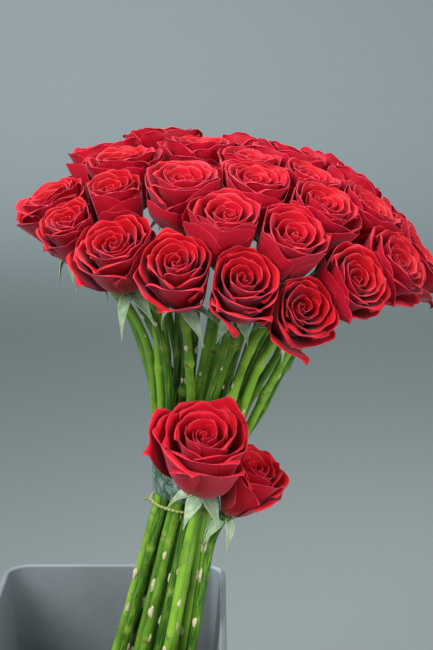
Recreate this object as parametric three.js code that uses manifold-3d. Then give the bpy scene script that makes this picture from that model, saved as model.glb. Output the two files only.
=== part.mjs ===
// Roses in a vase: thirty-three long-stemmed red roses tied into one leaning,
// domed bunch, with two short roses in front of the tie, all standing in the
// water of a square tapered bucket.
//
// Millimetres, +Z up.  The origin is under the middle of the vase.  The bunch
// has a frame of its own: its origin is at the tie and its +Z runs up the bunch.

import * as THREE from 'three';
import { mergeVertices } from 'three/addons/utils/BufferGeometryUtils.js';
import Module from 'manifold-3d';

const wasm = await Module();
wasm.setup();

// ---------------------------------------------------------------- dimensions

const DEG = Math.PI / 180;
const UP = new THREE.Vector3(0, 0, 1);
const GAP = 0.3;

const VASE = {
  height: 245, footHalf: 80, rimHalf: 102.5, wall: 2.2, floor: 3,
  footCorner: 16, rimCorner: 22, lipOut: 3.5, lipHeight: 9, lipEdge: 1.6, footBevel: 1.5,
};

const WATER = { level: 96, side: 0.35, hole: 0.35 };

const BUNCH = { tie: new THREE.Vector3(68.5, 0, 352), lean: 10.5 * DEG };

// The dome that the rims of the long roses lie on.
const DOME = { across: 162, front: 148, back: 120, rise: 76, centre: 230, lift: 0.25 };

// A rose: from the foot of its cup to its rim, and the green hip below it.  It
// leans out by a share of its tilt, more from the left side to the right.  A
// long rose opens between leastOpen and the share of room that it has.
const CUP = {
  height: 47, radius: 31, axisShare: [0.45, 0.65], side: [-60, 120],
  cellGap: 0.75, cellSoft: 4.2,
  leastOpen: 31.5, roomShare: 0.56, lap: 5, neighbours: 5, touching: 1.6,
};
const HIP = { radius: 6.4, height: 9, gap: 0.35, widest: 0.55, top: 0.82 };

// Stems, six-sided, packed like honeycomb at the tie.
const STEM = {
  pitch: 8.6, flat: 3.7, pressed: 4.46, neck: 2.9,
  spread: 0.0034, slant: 0.0016, slantTop: 60, clear: 10, tieTop: 12, steps: 14,
};

// How stems that come too close are moved apart: rounds, share of the gap made
// good in each round, and share of a bend passed to each side.
const ROOM = { rounds: 120, push: 0.3, ease: 0.2 };

// The face of the tied stems that the short roses rest beside.
const FACE = { out: 33, rise: 0.15 };

// How a stem leaves the tie and reaches its rose: shares of the way between, how
// straight it leaves, and its slant where it comes as a share of the rose's tilt.
// The stems on the side that the bunch leans to are straighter.
const CURVE = {
  leave: 0.36, arrive: [0.34, 0.22], straight: [0.45, 0.95], side: 110, axisShare: 0.8,
};

const FOOT_Z = VASE.floor + GAP;

// Steps of a stem's line above the tie at which its skin has a row.
const ABOVE = [2, 5, 10];
const INNER_STEMS = 15;

// Azimuth (0 right, 90 back, -90 front) and tilt from the bunch's axis, in
// degrees, of each long rose, as read off the photograph row by row; the rows
// at the back are filled in to the same spacing.
const ROWS = {
  skirt: [[-126, 86], [-106, 86], [-87, 87], [-69, 99], [-54, 79], [-32, 70], [-6, 71],
    [-168, 78], [-146, 82]],
  shoulder: [[-140, 57], [-120, 39], [-96, 54], [-74, 59], [-54, 40], [-85, 29], [-20, 43],
    [-164, 41]],
  crown: [[162, 16], [-84, 8], [-27, 21], [48, 19], [24, 40], [165, 51], [135, 42], [54, 45]],
  back: [[25, 80], [51, 87], [73, 82], [93, 81], [114, 80], [136, 84], [161, 90], [90, 50]],
};

// The two short roses: foot of the cup, the way it faces, its size against a
// long rose, a point its stem passes by the tie, and where it stands below.
const SHORT = [
  { foot: [11.6, -50, 29.5], faces: [-0.1, -0.47, 0.86], size: 1.4, radius: 41, firm: 1.3,
    passes: [9, -39, -14], stands: [8, -70] },
  { foot: [36, -46, 10], faces: [0.3, -0.2, 0.93], size: 1.1, radius: 32, firm: 1,
    passes: [28.8, -33.2, -26], stands: [31.5, -63.2] },
];

const COLOUR = {
  petal: 0xb80f22, shortPetal: 0xc4122a, stem: 0x5f9a36, inner: 0x42762b,
  vase: 0x7f8d98, water: 0xa9c4c0, film: 0xdfe6e4, string: 0xcfc9b8,
};

// ------------------------------------------------------------ shared builders

const vec = (x, y, z) => new THREE.Vector3(x, y, z);
const mix = (a, b, t) => a + (b - a) * t;

// A repeatable random draw from 0 to 1 for a counting number.
function draw(n) {
  const s = Math.sin(n * 127.1 + 311.7) * 43758.5453;
  return s - Math.floor(s);
}

// A closed skin: a cylinder whose rows are carried to new places.  place(row,
// side) gives each corner; ends(row) the middle of a cap, or the row's own middle.
function skin(sides, rows, place, ends) {
  const geometry = new THREE.CylinderGeometry(1, 1, rows, sides, rows);
  const at = geometry.attributes.position;
  for (let i = 0; i < at.count; i += 1) {
    const row = Math.round(at.getY(i) + rows / 2);
    const middle = Math.hypot(at.getX(i), at.getZ(i)) < 0.5;
    const turn = Math.atan2(at.getX(i), at.getZ(i)) / (2 * Math.PI);
    const side = (Math.round(turn * sides) + sides) % sides;
    const p = middle ? (ends ?? ownMiddle)(row) : place(row, side);
    at.setXYZ(i, p.x, p.y, p.z);
  }
  return geometry;

  function ownMiddle(row) {
    const sum = vec(0, 0, 0);
    for (let side = 0; side < sides; side += 1) {
      sum.add(place(row, side));
    }
    return sum.divideScalar(sides);
  }
}

// The closed triangle mesh of a geometry as a solid that can be joined and cut.
function solid(geometry) {
  const bare = geometry.clone();
  bare.deleteAttribute('normal');
  bare.deleteAttribute('uv');
  const merged = mergeVertices(bare, 1e-4);
  const index = merged.index.array;
  const triVerts = [];
  for (let i = 0; i < index.length; i += 3) {
    const [a, b, c] = index.slice(i, i + 3);
    if (a !== b && b !== c && c !== a) {
      triVerts.push(a, b, c);
    }
  }
  const vertProperties = Float32Array.from(merged.attributes.position.array);
  return new wasm.Manifold(new wasm.Mesh({
    numProp: 3, vertProperties, triVerts: Uint32Array.from(triVerts),
  }));
}

function shapeOf(body) {
  const mesh = body.getMesh();
  const geometry = new THREE.BufferGeometry();
  geometry.setAttribute('position', new THREE.BufferAttribute(mesh.vertProperties, 3));
  geometry.setIndex(new THREE.BufferAttribute(mesh.triVerts, 1));
  return geometry;
}

// Joins pieces into one body; a pocket that joining seals inside is filled.
function fuse(geometries) {
  const whole = geometries.map(solid).reduce((sum, piece) => sum.add(piece));
  const shells = whole.decompose();
  return shells.reduce((big, shell) => (shell.volume() > big.volume() ? shell : big));
}

// ------------------------------------------------------------- where roses go

// A rose's place: the middle of its rim, the way it faces, the way its stem
// comes, the foot of its cup, the radius of its open rim and a turn about its axis.
function longRose(azimuth, tilt, number) {
  const a = azimuth * DEG;
  const t = tilt * DEG;
  const reach = Math.sin(t);
  const y = reach * Math.sin(a) * (Math.sin(a) < 0 ? DOME.front : DOME.back);
  const z = DOME.centre + DOME.rise * Math.cos(t) + DOME.lift * Math.max(0, y);
  const rim = vec(DOME.across * reach * Math.cos(a), y, z);
  const leaning = THREE.MathUtils.smoothstep(rim.x, ...CUP.side);
  const axis = heading(a, t * mix(...CUP.axisShare, leaning));
  const comes = heading(a, t * CURVE.axisShare);
  const foot = rim.clone().addScaledVector(axis, -CUP.height);
  const turn = draw(number) * 2 * Math.PI;
  return { number, rim, axis, comes, foot, size: 1, radius: CUP.radius, firm: 1, turn };
}

function heading(azimuth, lean) {
  const out = Math.sin(lean);
  return vec(out * Math.cos(azimuth), out * Math.sin(azimuth), Math.cos(lean));
}

function shortRose(spec, number) {
  const foot = vec(...spec.foot);
  const axis = vec(...spec.faces).normalize();
  const rim = foot.clone().addScaledVector(axis, CUP.height * spec.size);
  const { size, radius, firm } = spec;
  return { number, rim, axis, foot, size, radius, firm, turn: number, spec };
}

const longRoses = Object.values(ROWS).flat().map(([a, t], i) => longRose(a, t, i + 1));
const shortRoses = SHORT.map((spec, i) => shortRose(spec, longRoses.length + 1 + i));
const roses = [...longRoses, ...shortRoses];

// Each long rose opens as far as its nearest neighbours leave room.
function openWide(rose) {
  const apart = longRoses.filter((o) => o !== rose).map((o) => o.rim.distanceTo(rose.rim));
  const near = apart.sort((a, b) => a - b).slice(0, CUP.neighbours);
  const room = near.reduce((sum, d) => sum + d, 0) / near.length;
  const open = Math.max(CUP.leastOpen, room * CUP.roomShare);
  rose.radius = Math.min(near[0] / 2 + CUP.lap, open);
}

longRoses.forEach(openWide);

// The planes half-way to a rose's neighbours, which its petals are pressed
// against, as they are in a tight bunch.
function wallsOf(rose) {
  const walls = [];
  for (const other of roses) {
    const apart = other.rim.distanceTo(rose.rim);
    if (other !== rose && apart < CUP.touching * (rose.radius + other.radius)) {
      walls.push(wallBetween(rose, other));
    }
  }
  if (rose.spec) {
    walls.push(...bunchWalls(rose));
  }
  return walls;
}

function wallBetween(rose, other) {
  const own = rose.radius * rose.firm;
  const share = own / (own + other.radius * other.firm);
  const high = rose.rim.clone().lerp(other.rim, share);
  const low = rose.foot.clone().lerp(other.foot, share);
  const along = high.clone().sub(low).normalize();
  const across = other.rim.clone().sub(rose.rim).add(other.foot).sub(rose.foot);
  const normal = across.addScaledVector(along, -across.dot(along)).normalize();
  return { point: high, normal };
}

// The face of the tied stems, for a rose that stands beside them.
function bunchWalls(rose) {
  const away = vec(rose.foot.x, rose.foot.y, 0).normalize();
  const rises = away.clone().multiplyScalar(FACE.rise).add(UP).normalize();
  const normal = away.clone().addScaledVector(rises, -away.dot(rises)).normalize().negate();
  return [{ point: away.clone().multiplyScalar(FACE.out), normal }];
}

// Presses a point back inside the walls, more gently the further in it is.
function press(p, walls) {
  for (let pass = 0; pass < 2; pass += 1) {
    for (const wall of walls) {
      const past = depthPast(p, wall) + CUP.cellSoft;
      if (past > 0) {
        const kept = CUP.cellSoft * (1 - Math.exp(-past / CUP.cellSoft));
        p.addScaledVector(wall.normal, kept - past);
      }
    }
  }
  return p;
}

function depthPast(p, wall) {
  return p.clone().sub(wall.point).dot(wall.normal) + CUP.cellGap;
}

// -------------------------------------------------------------------- blooms

// A cup's rows from its foot to its heart, in millimetres for a long rose: the
// height and radius of the row, the turn of its petals in fifths of a circle,
// how much one side of a petal stands over the next, how far a petal's corners
// drop, and how far its middle leans out.
const ROW = (height, radius, turn, over, drop, out) => ({ height, radius, turn, over, drop, out });
const CUP_ROWS = [
  ROW(0, 5.5, 0, 0, 0, 0), ROW(19, 23, 0, 0.8, 0, 0),
  ROW(41, 30, 0, 1.8, 7, 2.2), ROW(47.5, 26.5, 0, 1.8, 8, 1),
  ROW(30, 21, -0.5, 0.6, 0, 0),
  ROW(50.5, 20.5, -0.5, 1.5, 6, 1), ROW(37, 14.2, -1, 0.4, 0, 0),
  ROW(50, 12.6, -1, 1.2, 4, 0.5), ROW(41, 6, -1.4, 0.3, 0, 0),
];
const PETALS = 5;
const COLUMNS = 3;
const PETAL_HALF = 33.2 * DEG;
const HEART_TIP = 47;

// How much of a whorl's lean and drop differs from petal to petal.
const OWN = { out: 1.6, drop: 0.35 };

// A point in a rose's own frame, at a radius, an angle and a height, in the bunch.
function inRose(rose, radius, angle, height) {
  const e1 = vec(rose.axis.z, 0, -rose.axis.x).normalize();
  const e2 = rose.axis.clone().cross(e1);
  const a = angle + rose.turn;
  return rose.foot.clone()
    .addScaledVector(e1, radius * Math.cos(a))
    .addScaledVector(e2, radius * Math.sin(a))
    .addScaledVector(rose.axis, height);
}

// One cup: whorls of five lapping petals round a rolled heart, raised row by row.
function bloom(rose) {
  const walls = wallsOf(rose);
  const wide = rose.radius / CUP.radius;
  const corner = (row, side) => {
    const r = CUP_ROWS[row];
    const k = Math.floor(side / COLUMNS);
    const c = (side % COLUMNS) - 1;
    const own = draw(rose.number * 31 + k * 7 + Math.round(r.turn * 2));
    const angle = ((k + r.turn) * 2 * Math.PI) / PETALS + c * PETAL_HALF;
    const out = r.out * (1 - c * c) + r.over * c + (own - 0.5) * r.out * OWN.out;
    const height = r.height - r.drop * c * c + (own - 0.5) * r.drop * OWN.drop;
    return inRose(rose, (r.radius + out) * wide, angle, height * rose.size);
  };
  const place = (row, side) => press(corner(row, side), walls);
  const tip = inRose(rose, 0, 0, HEART_TIP * rose.size);
  const foot = inRose(rose, 0, 0, 0);
  return skin(PETALS * COLUMNS, CUP_ROWS.length - 1, place, (row) => (row ? tip : foot));
}

// --------------------------------------------------------------------- stems

// Places of the stems at the tie: a honeycomb of three rings, less four corners.
function honeycomb() {
  const sites = [];
  for (let q = -3; q <= 3; q += 1) {
    for (let r = -3; r <= 3; r += 1) {
      const ring = Math.max(Math.abs(q), Math.abs(r), Math.abs(q + r));
      const corner = ring === 3 && q * r * (q + r) === 0;
      if (ring <= 3 && !(corner && Math.abs(q - r) !== 6)) {
        sites.push({ ring, x: STEM.pitch * (q + r / 2), y: (STEM.pitch * r * Math.sqrt(3)) / 2 });
      }
    }
  }
  return sites;
}

const azimuthOf = (p) => Math.atan2(p.y, p.x);
const turnBetween = (a, b) => Math.abs(Math.atan2(Math.sin(a - b), Math.cos(a - b)));

// Gives each long rose a site: the inner roses the inner rings, and within a
// ring the turn of the whole ring that brings every stem nearest its own rose.
function giveSites() {
  const waiting = [...longRoses].sort((a, b) => flat(a.foot) - flat(b.foot));
  const sites = honeycomb();
  for (let ring = 0; ring <= 3; ring += 1) {
    const own = sites.filter((s) => s.ring === ring).sort((a, b) => azimuthOf(a) - azimuthOf(b));
    const takers = waiting.splice(0, own.length).sort((a, b) => azimuthOf(a.foot) - azimuthOf(b.foot));
    const shift = bestShift(own, takers);
    takers.forEach((rose, i) => {
      rose.site = own[(i + shift) % own.length];
    });
  }
}

function flat(p) {
  return Math.hypot(p.x, p.y);
}

function bestShift(own, takers) {
  const cost = (shift) => takers.reduce((sum, rose, i) => {
    const site = own[(i + shift) % own.length];
    return sum + turnBetween(azimuthOf(site), azimuthOf(rose.foot)) ** 2;
  }, 0);
  const shifts = own.map((_, shift) => shift);
  return shifts.reduce((best, shift) => (cost(shift) < cost(best) ? shift : best), 0);
}

// The stems run straight down from the tie, spreading and slanting round it.
function inBundle(site, z) {
  const spread = 1 + STEM.spread * Math.abs(z);
  const slant = STEM.slant * z;
  return vec(site.x * spread - site.y * slant, site.x * slant + site.y * spread, z);
}

// Height in the bunch's frame at which a stem reaches the floor of the vase.
function floorUnder(x) {
  const drop = FOOT_Z - BUNCH.tie.z + x * Math.sin(BUNCH.lean);
  return drop / Math.cos(BUNCH.lean);
}

// The line of a long rose's stem above the tie, before the stems make room.
function freeRoute(rose) {
  const start = inBundle(rose.site, STEM.tieTop);
  const end = hipFoot(rose);
  const far = end.distanceTo(start);
  const leaning = Math.min(1, Math.max(0, end.x / CURVE.side));
  const upward = start.clone().addScaledVector(UP, far * CURVE.leave);
  const straight = start.clone().lerp(end, CURVE.leave);
  const leave = upward.lerp(straight, mix(...CURVE.straight, leaning));
  const arrive = end.clone().addScaledVector(rose.comes, -far * mix(...CURVE.arrive, leaning));
  return new THREE.CubicBezierCurve3(start, leave, arrive, end).getPoints(STEM.steps);
}

function hipFoot(rose) {
  return rose.foot.clone().addScaledVector(rose.axis, -HIP.gap - HIP.height * rose.size);
}

// Nearest approach of two short straight pieces a-b and c-d.
function nearest(a, b, c, d) {
  const u = b.clone().sub(a);
  const v = d.clone().sub(c);
  const w = a.clone().sub(c);
  const [uu, uv, vv, uw, vw] = [u.dot(u), u.dot(v), v.dot(v), u.dot(w), v.dot(w)];
  const det = uu * vv - uv * uv;
  let s = det > 1e-6 ? (uv * vw - vv * uw) / det : 0;
  s = Math.min(1, Math.max(0, s));
  const t = Math.min(1, Math.max(0, (uv * s + vw) / vv));
  s = Math.min(1, Math.max(0, (uv * t - uw) / uu));
  const gap = a.clone().addScaledVector(u, s).sub(c.clone().addScaledVector(v, t));
  return { gap, s, t };
}

// Stems that come too close above the tie bend aside, and the bend is spread
// along them, so that each keeps a smooth line from the tie to its own rose.
function makeRoom(routes) {
  const shifts = routes.map((route) => route.map(() => vec(0, 0, 0)));
  for (let round = 0; round < ROOM.rounds; round += 1) {
    const lines = routes.map((route, i) => route.map((p, k) => p.clone().add(shifts[i][k])));
    for (let i = 0; i < lines.length; i += 1) {
      for (let j = i + 1; j < lines.length; j += 1) {
        pushApart(lines[i], lines[j], shifts[i], shifts[j]);
      }
    }
    shifts.forEach(easeShifts);
  }
  return routes.map((route, i) => route.map((p, k) => p.clone().add(shifts[i][k])));
}

function pushApart(one, two, shiftOne, shiftTwo) {
  for (let p = 0; p < one.length - 1; p += 1) {
    for (let q = 0; q < two.length - 1; q += 1) {
      if (Math.abs(one[p].z - two[q].z) < STEM.clear * 2) {
        const { gap, s, t } = nearest(one[p], one[p + 1], two[q], two[q + 1]);
        const short = STEM.clear - gap.length();
        if (short > 0) {
          const push = gap.setLength(short * ROOM.push);
          shiftOne[p].addScaledVector(push, 1 - s);
          shiftOne[p + 1].addScaledVector(push, s);
          shiftTwo[q].addScaledVector(push, t - 1);
          shiftTwo[q + 1].addScaledVector(push, -t);
        }
      }
    }
  }
}

function easeShifts(shift) {
  const last = shift.length - 1;
  const eased = shift.map((d, k) => {
    if (k < 1 || k > last - 1) {
      return vec(0, 0, 0);
    }
    const beside = shift[k - 1].clone().add(shift[k + 1]);
    return d.clone().multiplyScalar(1 - 2 * ROOM.ease).addScaledVector(beside, ROOM.ease);
  });
  eased.forEach((d, k) => shift[k].copy(d));
}

// A stem's rows from the floor to its hip: middle and distance to its flats.
function stemRows(rose, route) {
  const low = floorUnder(inBundle(rose.site, -BUNCH.tie.z).x);
  const rows = [
    { at: inBundle(rose.site, low), flat: STEM.flat },
    { at: inBundle(rose.site, 0), flat: isInner(rose) ? STEM.pressed : STEM.flat },
  ];
  for (const k of ABOVE) {
    rows.push({ at: route[k], flat: STEM.flat });
  }
  return [...rows, ...hipRows(rose)];
}

function hipRows(rose) {
  const end = hipFoot(rose);
  const up = (share) => end.clone().addScaledVector(rose.axis, share * HIP.height * rose.size);
  const wide = Math.sqrt(rose.size);
  return [
    { at: up(0), flat: STEM.neck * wide },
    { at: up(HIP.widest), flat: HIP.radius * wide },
    { at: up(1), flat: HIP.radius * HIP.top * wide },
  ];
}

// The six-sided skin of a stem.  Its flats face its neighbours at the tie, and
// its lowest row lies flat on the floor.
function stemSkin(rows, more = 0, standing = true) {
  const place = (row, side) => {
    const { at, flat: toFlat } = rows[row];
    const before = rows[Math.max(0, row - 1)].at;
    const after = rows[Math.min(rows.length - 1, row + 1)].at;
    const along = after.clone().sub(before).normalize();
    const out = sectionWay(along, at.z, side);
    const corner = at.clone().addScaledVector(out, (toFlat + more) / Math.cos(Math.PI / 6));
    return standing && row === 0 ? slideToFloor(corner, along) : corner;
  };
  return skin(6, rows.length - 1, place);
}

// The way from a stem's middle to one of its corners; half a side more is a flat.
function sectionWay(along, z, side) {
  const turn = (side * Math.PI) / 3 + Math.min(STEM.slantTop, Math.max(0, z)) * STEM.slant;
  const out = vec(-Math.sin(turn), Math.cos(turn), 0);
  return out.addScaledVector(along, -out.dot(along)).normalize();
}

function slideToFloor(p, along) {
  const tilt = Math.tan(BUNCH.lean);
  const height = p.z - floorUnder(p.x);
  return p.addScaledVector(along, -height / (along.z - along.x * tilt));
}

// The innermost stems are pressed into one another at the tie.
function isInner(rose) {
  return rose.order < INNER_STEMS;
}

// A short rose's stem: from the floor past the tie, then into its hip.
function shortRows(rose) {
  const { stands, passes } = rose.spec;
  const foot = vec(stands[0], stands[1], floorUnder(stands[0]));
  const rows = [foot, vec(...passes)].map((at) => ({ at, flat: STEM.flat }));
  return [...rows, ...hipRows(rose)];
}

// -------------------------------------------------------------------- sepals

// Sepals: how far from other stems, cups and sepals they stay, and the angles
// below the rose's own level that they are tried at, in degrees.
const SEPAL = {
  length: 30, width: 7.5, keel: 1.7, clear: 7.8, apart: 6.5, cup: 4, fall: [35, 62, 12, 80, -12],
  root: 0.22, out: 3, arch: 6, short: 0.75, long: 1.15, rootWidth: 0.6, flatTop: 0.2,
};
const placedSepals = [];

// Sepals stand round the hip wherever no stem, cup or other sepal is in the way.
function sepalsOf(rose, count) {
  const found = [];
  const phase = draw(rose.number * 5) * 6;
  for (let k = 0; k < count; k += 1) {
    const way = sectionWay(rose.axis, rose.foot.z, Math.round(phase + (k * 6) / count) + 0.5);
    const fall = SEPAL.fall.find((degrees) => hasRoom(rose, sepalLine(rose, way, degrees, k)));
    if (fall !== undefined) {
      const line = sepalLine(rose, way, fall, k);
      placedSepals.push({ rose, line });
      found.push(sepalSkin(rose, line));
    }
  }
  return found;
}

function sepalLine(rose, way, fall, k) {
  const share = mix(SEPAL.short, SEPAL.long, draw(rose.number * 3 + k));
  const length = SEPAL.length * share * Math.sqrt(rose.size);
  const below = HIP.gap + HIP.height * SEPAL.root * rose.size;
  const root = rose.foot.clone().addScaledVector(rose.axis, -below);
  const out = (along, bend) => {
    const a = (fall + bend) * DEG;
    return root.clone()
      .addScaledVector(way, SEPAL.out + along * length * Math.cos(a))
      .addScaledVector(rose.axis, -along * length * Math.sin(a));
  };
  return [out(0, 0), out(0.5, -SEPAL.arch), out(1, SEPAL.arch)];
}

function hasRoom(rose, line) {
  const stemOf = (other) => other.rows.map((r) => r.at);
  const clearOf = (other) => other === rose || lineGap(line, stemOf(other)) > SEPAL.clear;
  const clearCup = (other) => line.slice(1).every((p) => !nearCup(p, other));
  const clearSepal = (other) => lineGap(line.slice(1), other.line) > SEPAL.apart;
  const sameRose = (other) => other.rose === rose;
  return roses.every(clearOf) && roses.every(clearCup)
    && placedSepals.filter((other) => !sameRose(other)).every(clearSepal);
}

function lineGap(one, two) {
  let least = Infinity;
  for (let p = 0; p < one.length - 1; p += 1) {
    for (let q = 0; q < two.length - 1; q += 1) {
      least = Math.min(least, nearest(one[p], one[p + 1], two[q], two[q + 1]).gap.length());
    }
  }
  return least;
}

// Whether a point is in or close to a rose's cup, whose side follows the first
// rows of the cup and then opens on.
const CUP_SIDE = { lowest: -6, highest: 60, opens: 0.4 };

function nearCup(p, rose) {
  const from = p.clone().sub(rose.foot);
  const height = from.dot(rose.axis) / rose.size;
  const radius = from.addScaledVector(rose.axis, -from.dot(rose.axis)).length();
  const [foot, belly] = CUP_ROWS;
  const slope = (belly.radius - foot.radius) / belly.height;
  const above = height - belly.height;
  const side = above < 0 ? foot.radius + height * slope : belly.radius + above * CUP_SIDE.opens;
  return height > CUP_SIDE.lowest && height < CUP_SIDE.highest
    && radius < (side * rose.radius) / CUP.radius + SEPAL.cup;
}

// A keeled three-sided blade along a line, ending in a point.
function sepalSkin(rose, line) {
  const widths = [SEPAL.width * SEPAL.rootWidth, SEPAL.width, 0];
  const along = line[2].clone().sub(line[0]).normalize();
  const across = rose.axis.clone().cross(along).normalize();
  const top = along.clone().cross(across);
  return skin(3, 2, (row, side) => {
    const width = (widths[row] / 2) * Math.sqrt(rose.size);
    const corner = [[0, -1], [1, SEPAL.flatTop], [-1, SEPAL.flatTop]][side];
    return line[row].clone()
      .addScaledVector(across, corner[0] * width)
      .addScaledVector(top, (corner[1] * SEPAL.keel * widths[row]) / SEPAL.width);
  });
}

// ------------------------------------------------------- vase, water and tie

// A ring of a rounded square at a height, four steps to each corner.
const CORNER_POINTS = 5;
const SQUARE_SIDES = CORNER_POINTS * 4;

function squarePoint(half, corner, z, side) {
  const quarter = Math.floor(side / CORNER_POINTS);
  const step = 90 / (CORNER_POINTS - 1);
  const turn = (quarter * 90 + (side % CORNER_POINTS) * step) * DEG;
  const [sx, sy] = [[1, 1], [-1, 1], [-1, -1], [1, -1]][quarter];
  const inset = half - corner;
  return vec(sx * inset + corner * Math.cos(turn), sy * inset + corner * Math.sin(turn), z);
}

const halfAt = (z) => mix(VASE.footHalf, VASE.rimHalf, z / VASE.height);
const cornerAt = (z) => mix(VASE.footCorner, VASE.rimCorner, z / VASE.height);

function vase() {
  const { height, wall, floor, lipOut, lipHeight, lipEdge, footBevel } = VASE;
  const ring = (z, out) => ({ half: halfAt(z) + out, corner: cornerAt(z) + out, z });
  const rows = [
    ring(0, -footBevel), ring(footBevel, 0), ring(height - lipHeight, 0),
    ring(height - lipHeight, lipOut), ring(height - lipEdge, lipOut),
    ring(height, lipOut - lipEdge), ring(height, -wall), ring(floor, -wall),
  ];
  return skin(SQUARE_SIDES, rows.length - 1, (row, side) => {
    const { half, corner, z } = rows[row];
    return squarePoint(half, corner, z, side);
  });
}

function water() {
  const inset = VASE.wall + WATER.side;
  const body = solid(skin(SQUARE_SIDES, 1, (row, side) => {
    const z = row ? WATER.level : FOOT_Z;
    return squarePoint(halfAt(z) - inset, cornerAt(z) - inset, z, side);
  }));
  return roses.reduce((left, rose) => left.subtract(solid(stemHole(rose))), body);
}

// The plain hole a stem stands in: its lowest straight length, a little wider.
function stemHole(rose) {
  const [low, high] = rose.rows;
  const below = low.at.clone().lerp(high.at, -0.05);
  return stemSkin([{ ...low, at: below }, high], WATER.hole, false).applyMatrix4(toVase);
}

// How far the tied stems reach in a direction at a height.
function reachOf(angle, z) {
  const out = vec(Math.cos(angle), Math.sin(angle), 0);
  const reaches = longRoses.map((rose) => stemAt(rose.rows, z).dot(out));
  return Math.max(...reaches) + STEM.flat / Math.cos(Math.PI / 6);
}

function stemAt(rows, z) {
  const after = rows.findIndex((row) => row.at.z > z);
  const [a, b] = [rows[after - 1].at, rows[after].at];
  return a.clone().lerp(b, (z - a.z) / (b.z - a.z));
}

// A closed hoop round the stems.  place(corner, angle) gives its section's
// corners in order: inside, top, outside, bottom and so on round.
function hoop(corners, sides, place) {
  const geometry = new THREE.TorusGeometry(2, 1, corners, sides);
  const at = geometry.attributes.position;
  for (let i = 0; i < at.count; i += 1) {
    const [x, y, z] = [at.getX(i), at.getY(i), at.getZ(i)];
    const angle = Math.atan2(y, x);
    const round = Math.atan2(z, Math.hypot(x, y) - 2) / (2 * Math.PI);
    const corner = (Math.round(round * corners) + corners) % corners;
    const p = place(corner, angle);
    at.setXYZ(i, p.x, p.y, p.z);
  }
  return geometry;
}

const onHoop = (radius, angle, z) => vec(radius * Math.cos(angle), radius * Math.sin(angle), z);

// The clear film is drawn round the stems above the tie, and puckers, less at
// its lower edge.
const FILM = { low: 5, high: 47, gap: 0.6, wall: 1, sides: 24, pucker: [0.1, 0.2, 0.3, 0.3] };

function filmWrap() {
  const heights = [0, 1 / 3, 2 / 3, 1].map((t) => mix(FILM.low, FILM.high, t));
  const section = [[1, 1], [1, 2], [1, 3], [0, 3], [0, 2], [0, 1], [0, 0], [1, 0]];
  return hoop(section.length, FILM.sides, (corner, angle) => {
    const [outside, level] = section[corner];
    const side = Math.round((angle * FILM.sides) / (2 * Math.PI));
    const fold = draw(side + level * FILM.sides * 2) * FILM.pucker[level];
    const snug = reachOf(angle, heights[level]) / Math.cos(Math.PI / FILM.sides);
    return onHoop(snug + FILM.gap + fold + outside * FILM.wall, angle, heights[level]);
  });
}

// The tie is a narrow band with a knot at the left, where a loose end sticks out:
// the knot's rows, each with its size, how far out it is and how far up.
const TIE = { middle: -2, half: 1.7, gap: 0.6, wall: 1.3, sides: 16, side: 187 * DEG };
const KNOT = { sides: 6, sunk: 0.3, rows: [[2.4, 0, 0], [1.9, 4, 0], [0.6, 10, 2]] };

function tieBand() {
  const section = [[1, 0], [0.5, 1], [0, 0], [0.5, -1]];
  const radius = (angle) => reachOf(angle, TIE.middle) / Math.cos(Math.PI / TIE.sides) + TIE.gap;
  const band = hoop(section.length, TIE.sides, (corner, angle) => {
    const [outside, level] = section[corner];
    return onHoop(radius(angle) + outside * TIE.wall, angle, TIE.middle + level * TIE.half);
  });
  const from = radius(TIE.side) + TIE.wall * KNOT.sunk;
  const sideways = vec(-Math.sin(TIE.side), Math.cos(TIE.side), 0);
  const knot = skin(KNOT.sides, KNOT.rows.length - 1, (row, k) => {
    const [size, out, up] = KNOT.rows[row];
    const turn = (k * 2 * Math.PI) / KNOT.sides;
    const p = onHoop(from + out, TIE.side, TIE.middle + size * Math.sin(turn) + up);
    return p.addScaledVector(sideways, size * Math.cos(turn));
  });
  return fuse([band, knot]);
}

// -------------------------------------------------------------- settle stems

giveSites();
const bySite = [...longRoses].sort((a, b) => flat(a.site) - flat(b.site) || a.number - b.number);
bySite.forEach((rose, i) => {
  rose.order = i;
});
const routes = makeRoom(longRoses.map(freeRoute));
longRoses.forEach((rose, i) => {
  rose.rows = stemRows(rose, routes[i]);
});
shortRoses.forEach((rose) => {
  rose.rows = shortRows(rose);
});

// ------------------------------------------------------------------ assembly

const group = new THREE.Group();
const toVase = new THREE.Matrix4().makeRotationY(BUNCH.lean).setPosition(BUNCH.tie);

function add(name, body, colour, roughness, opacity = 1) {
  const material = new THREE.MeshStandardMaterial({
    color: colour, roughness, metalness: 0, opacity, transparent: opacity < 1,
  });
  const mesh = new THREE.Mesh(shapeOf(body), material);
  mesh.name = name;
  group.add(mesh);
}

function addInBunch(name, geometries, colour, roughness, opacity) {
  add(name, fuse(geometries.map((g) => g.applyMatrix4(toVase))), colour, roughness, opacity);
}

const greenOf = (rose, sepals) => [stemSkin(rose.rows), ...sepalsOf(rose, sepals)];
const two = (n) => String(n).padStart(2, '0');

add('vase', solid(vase()), COLOUR.vase, 0.45);
add('water', water(), COLOUR.water, 0.05, 0.4);
addInBunch('film_wrap', [filmWrap()], COLOUR.film, 0.15, 0.35);
add('tie_band', tieBand().transform(toVase.elements), COLOUR.string, 0.6);

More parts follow.
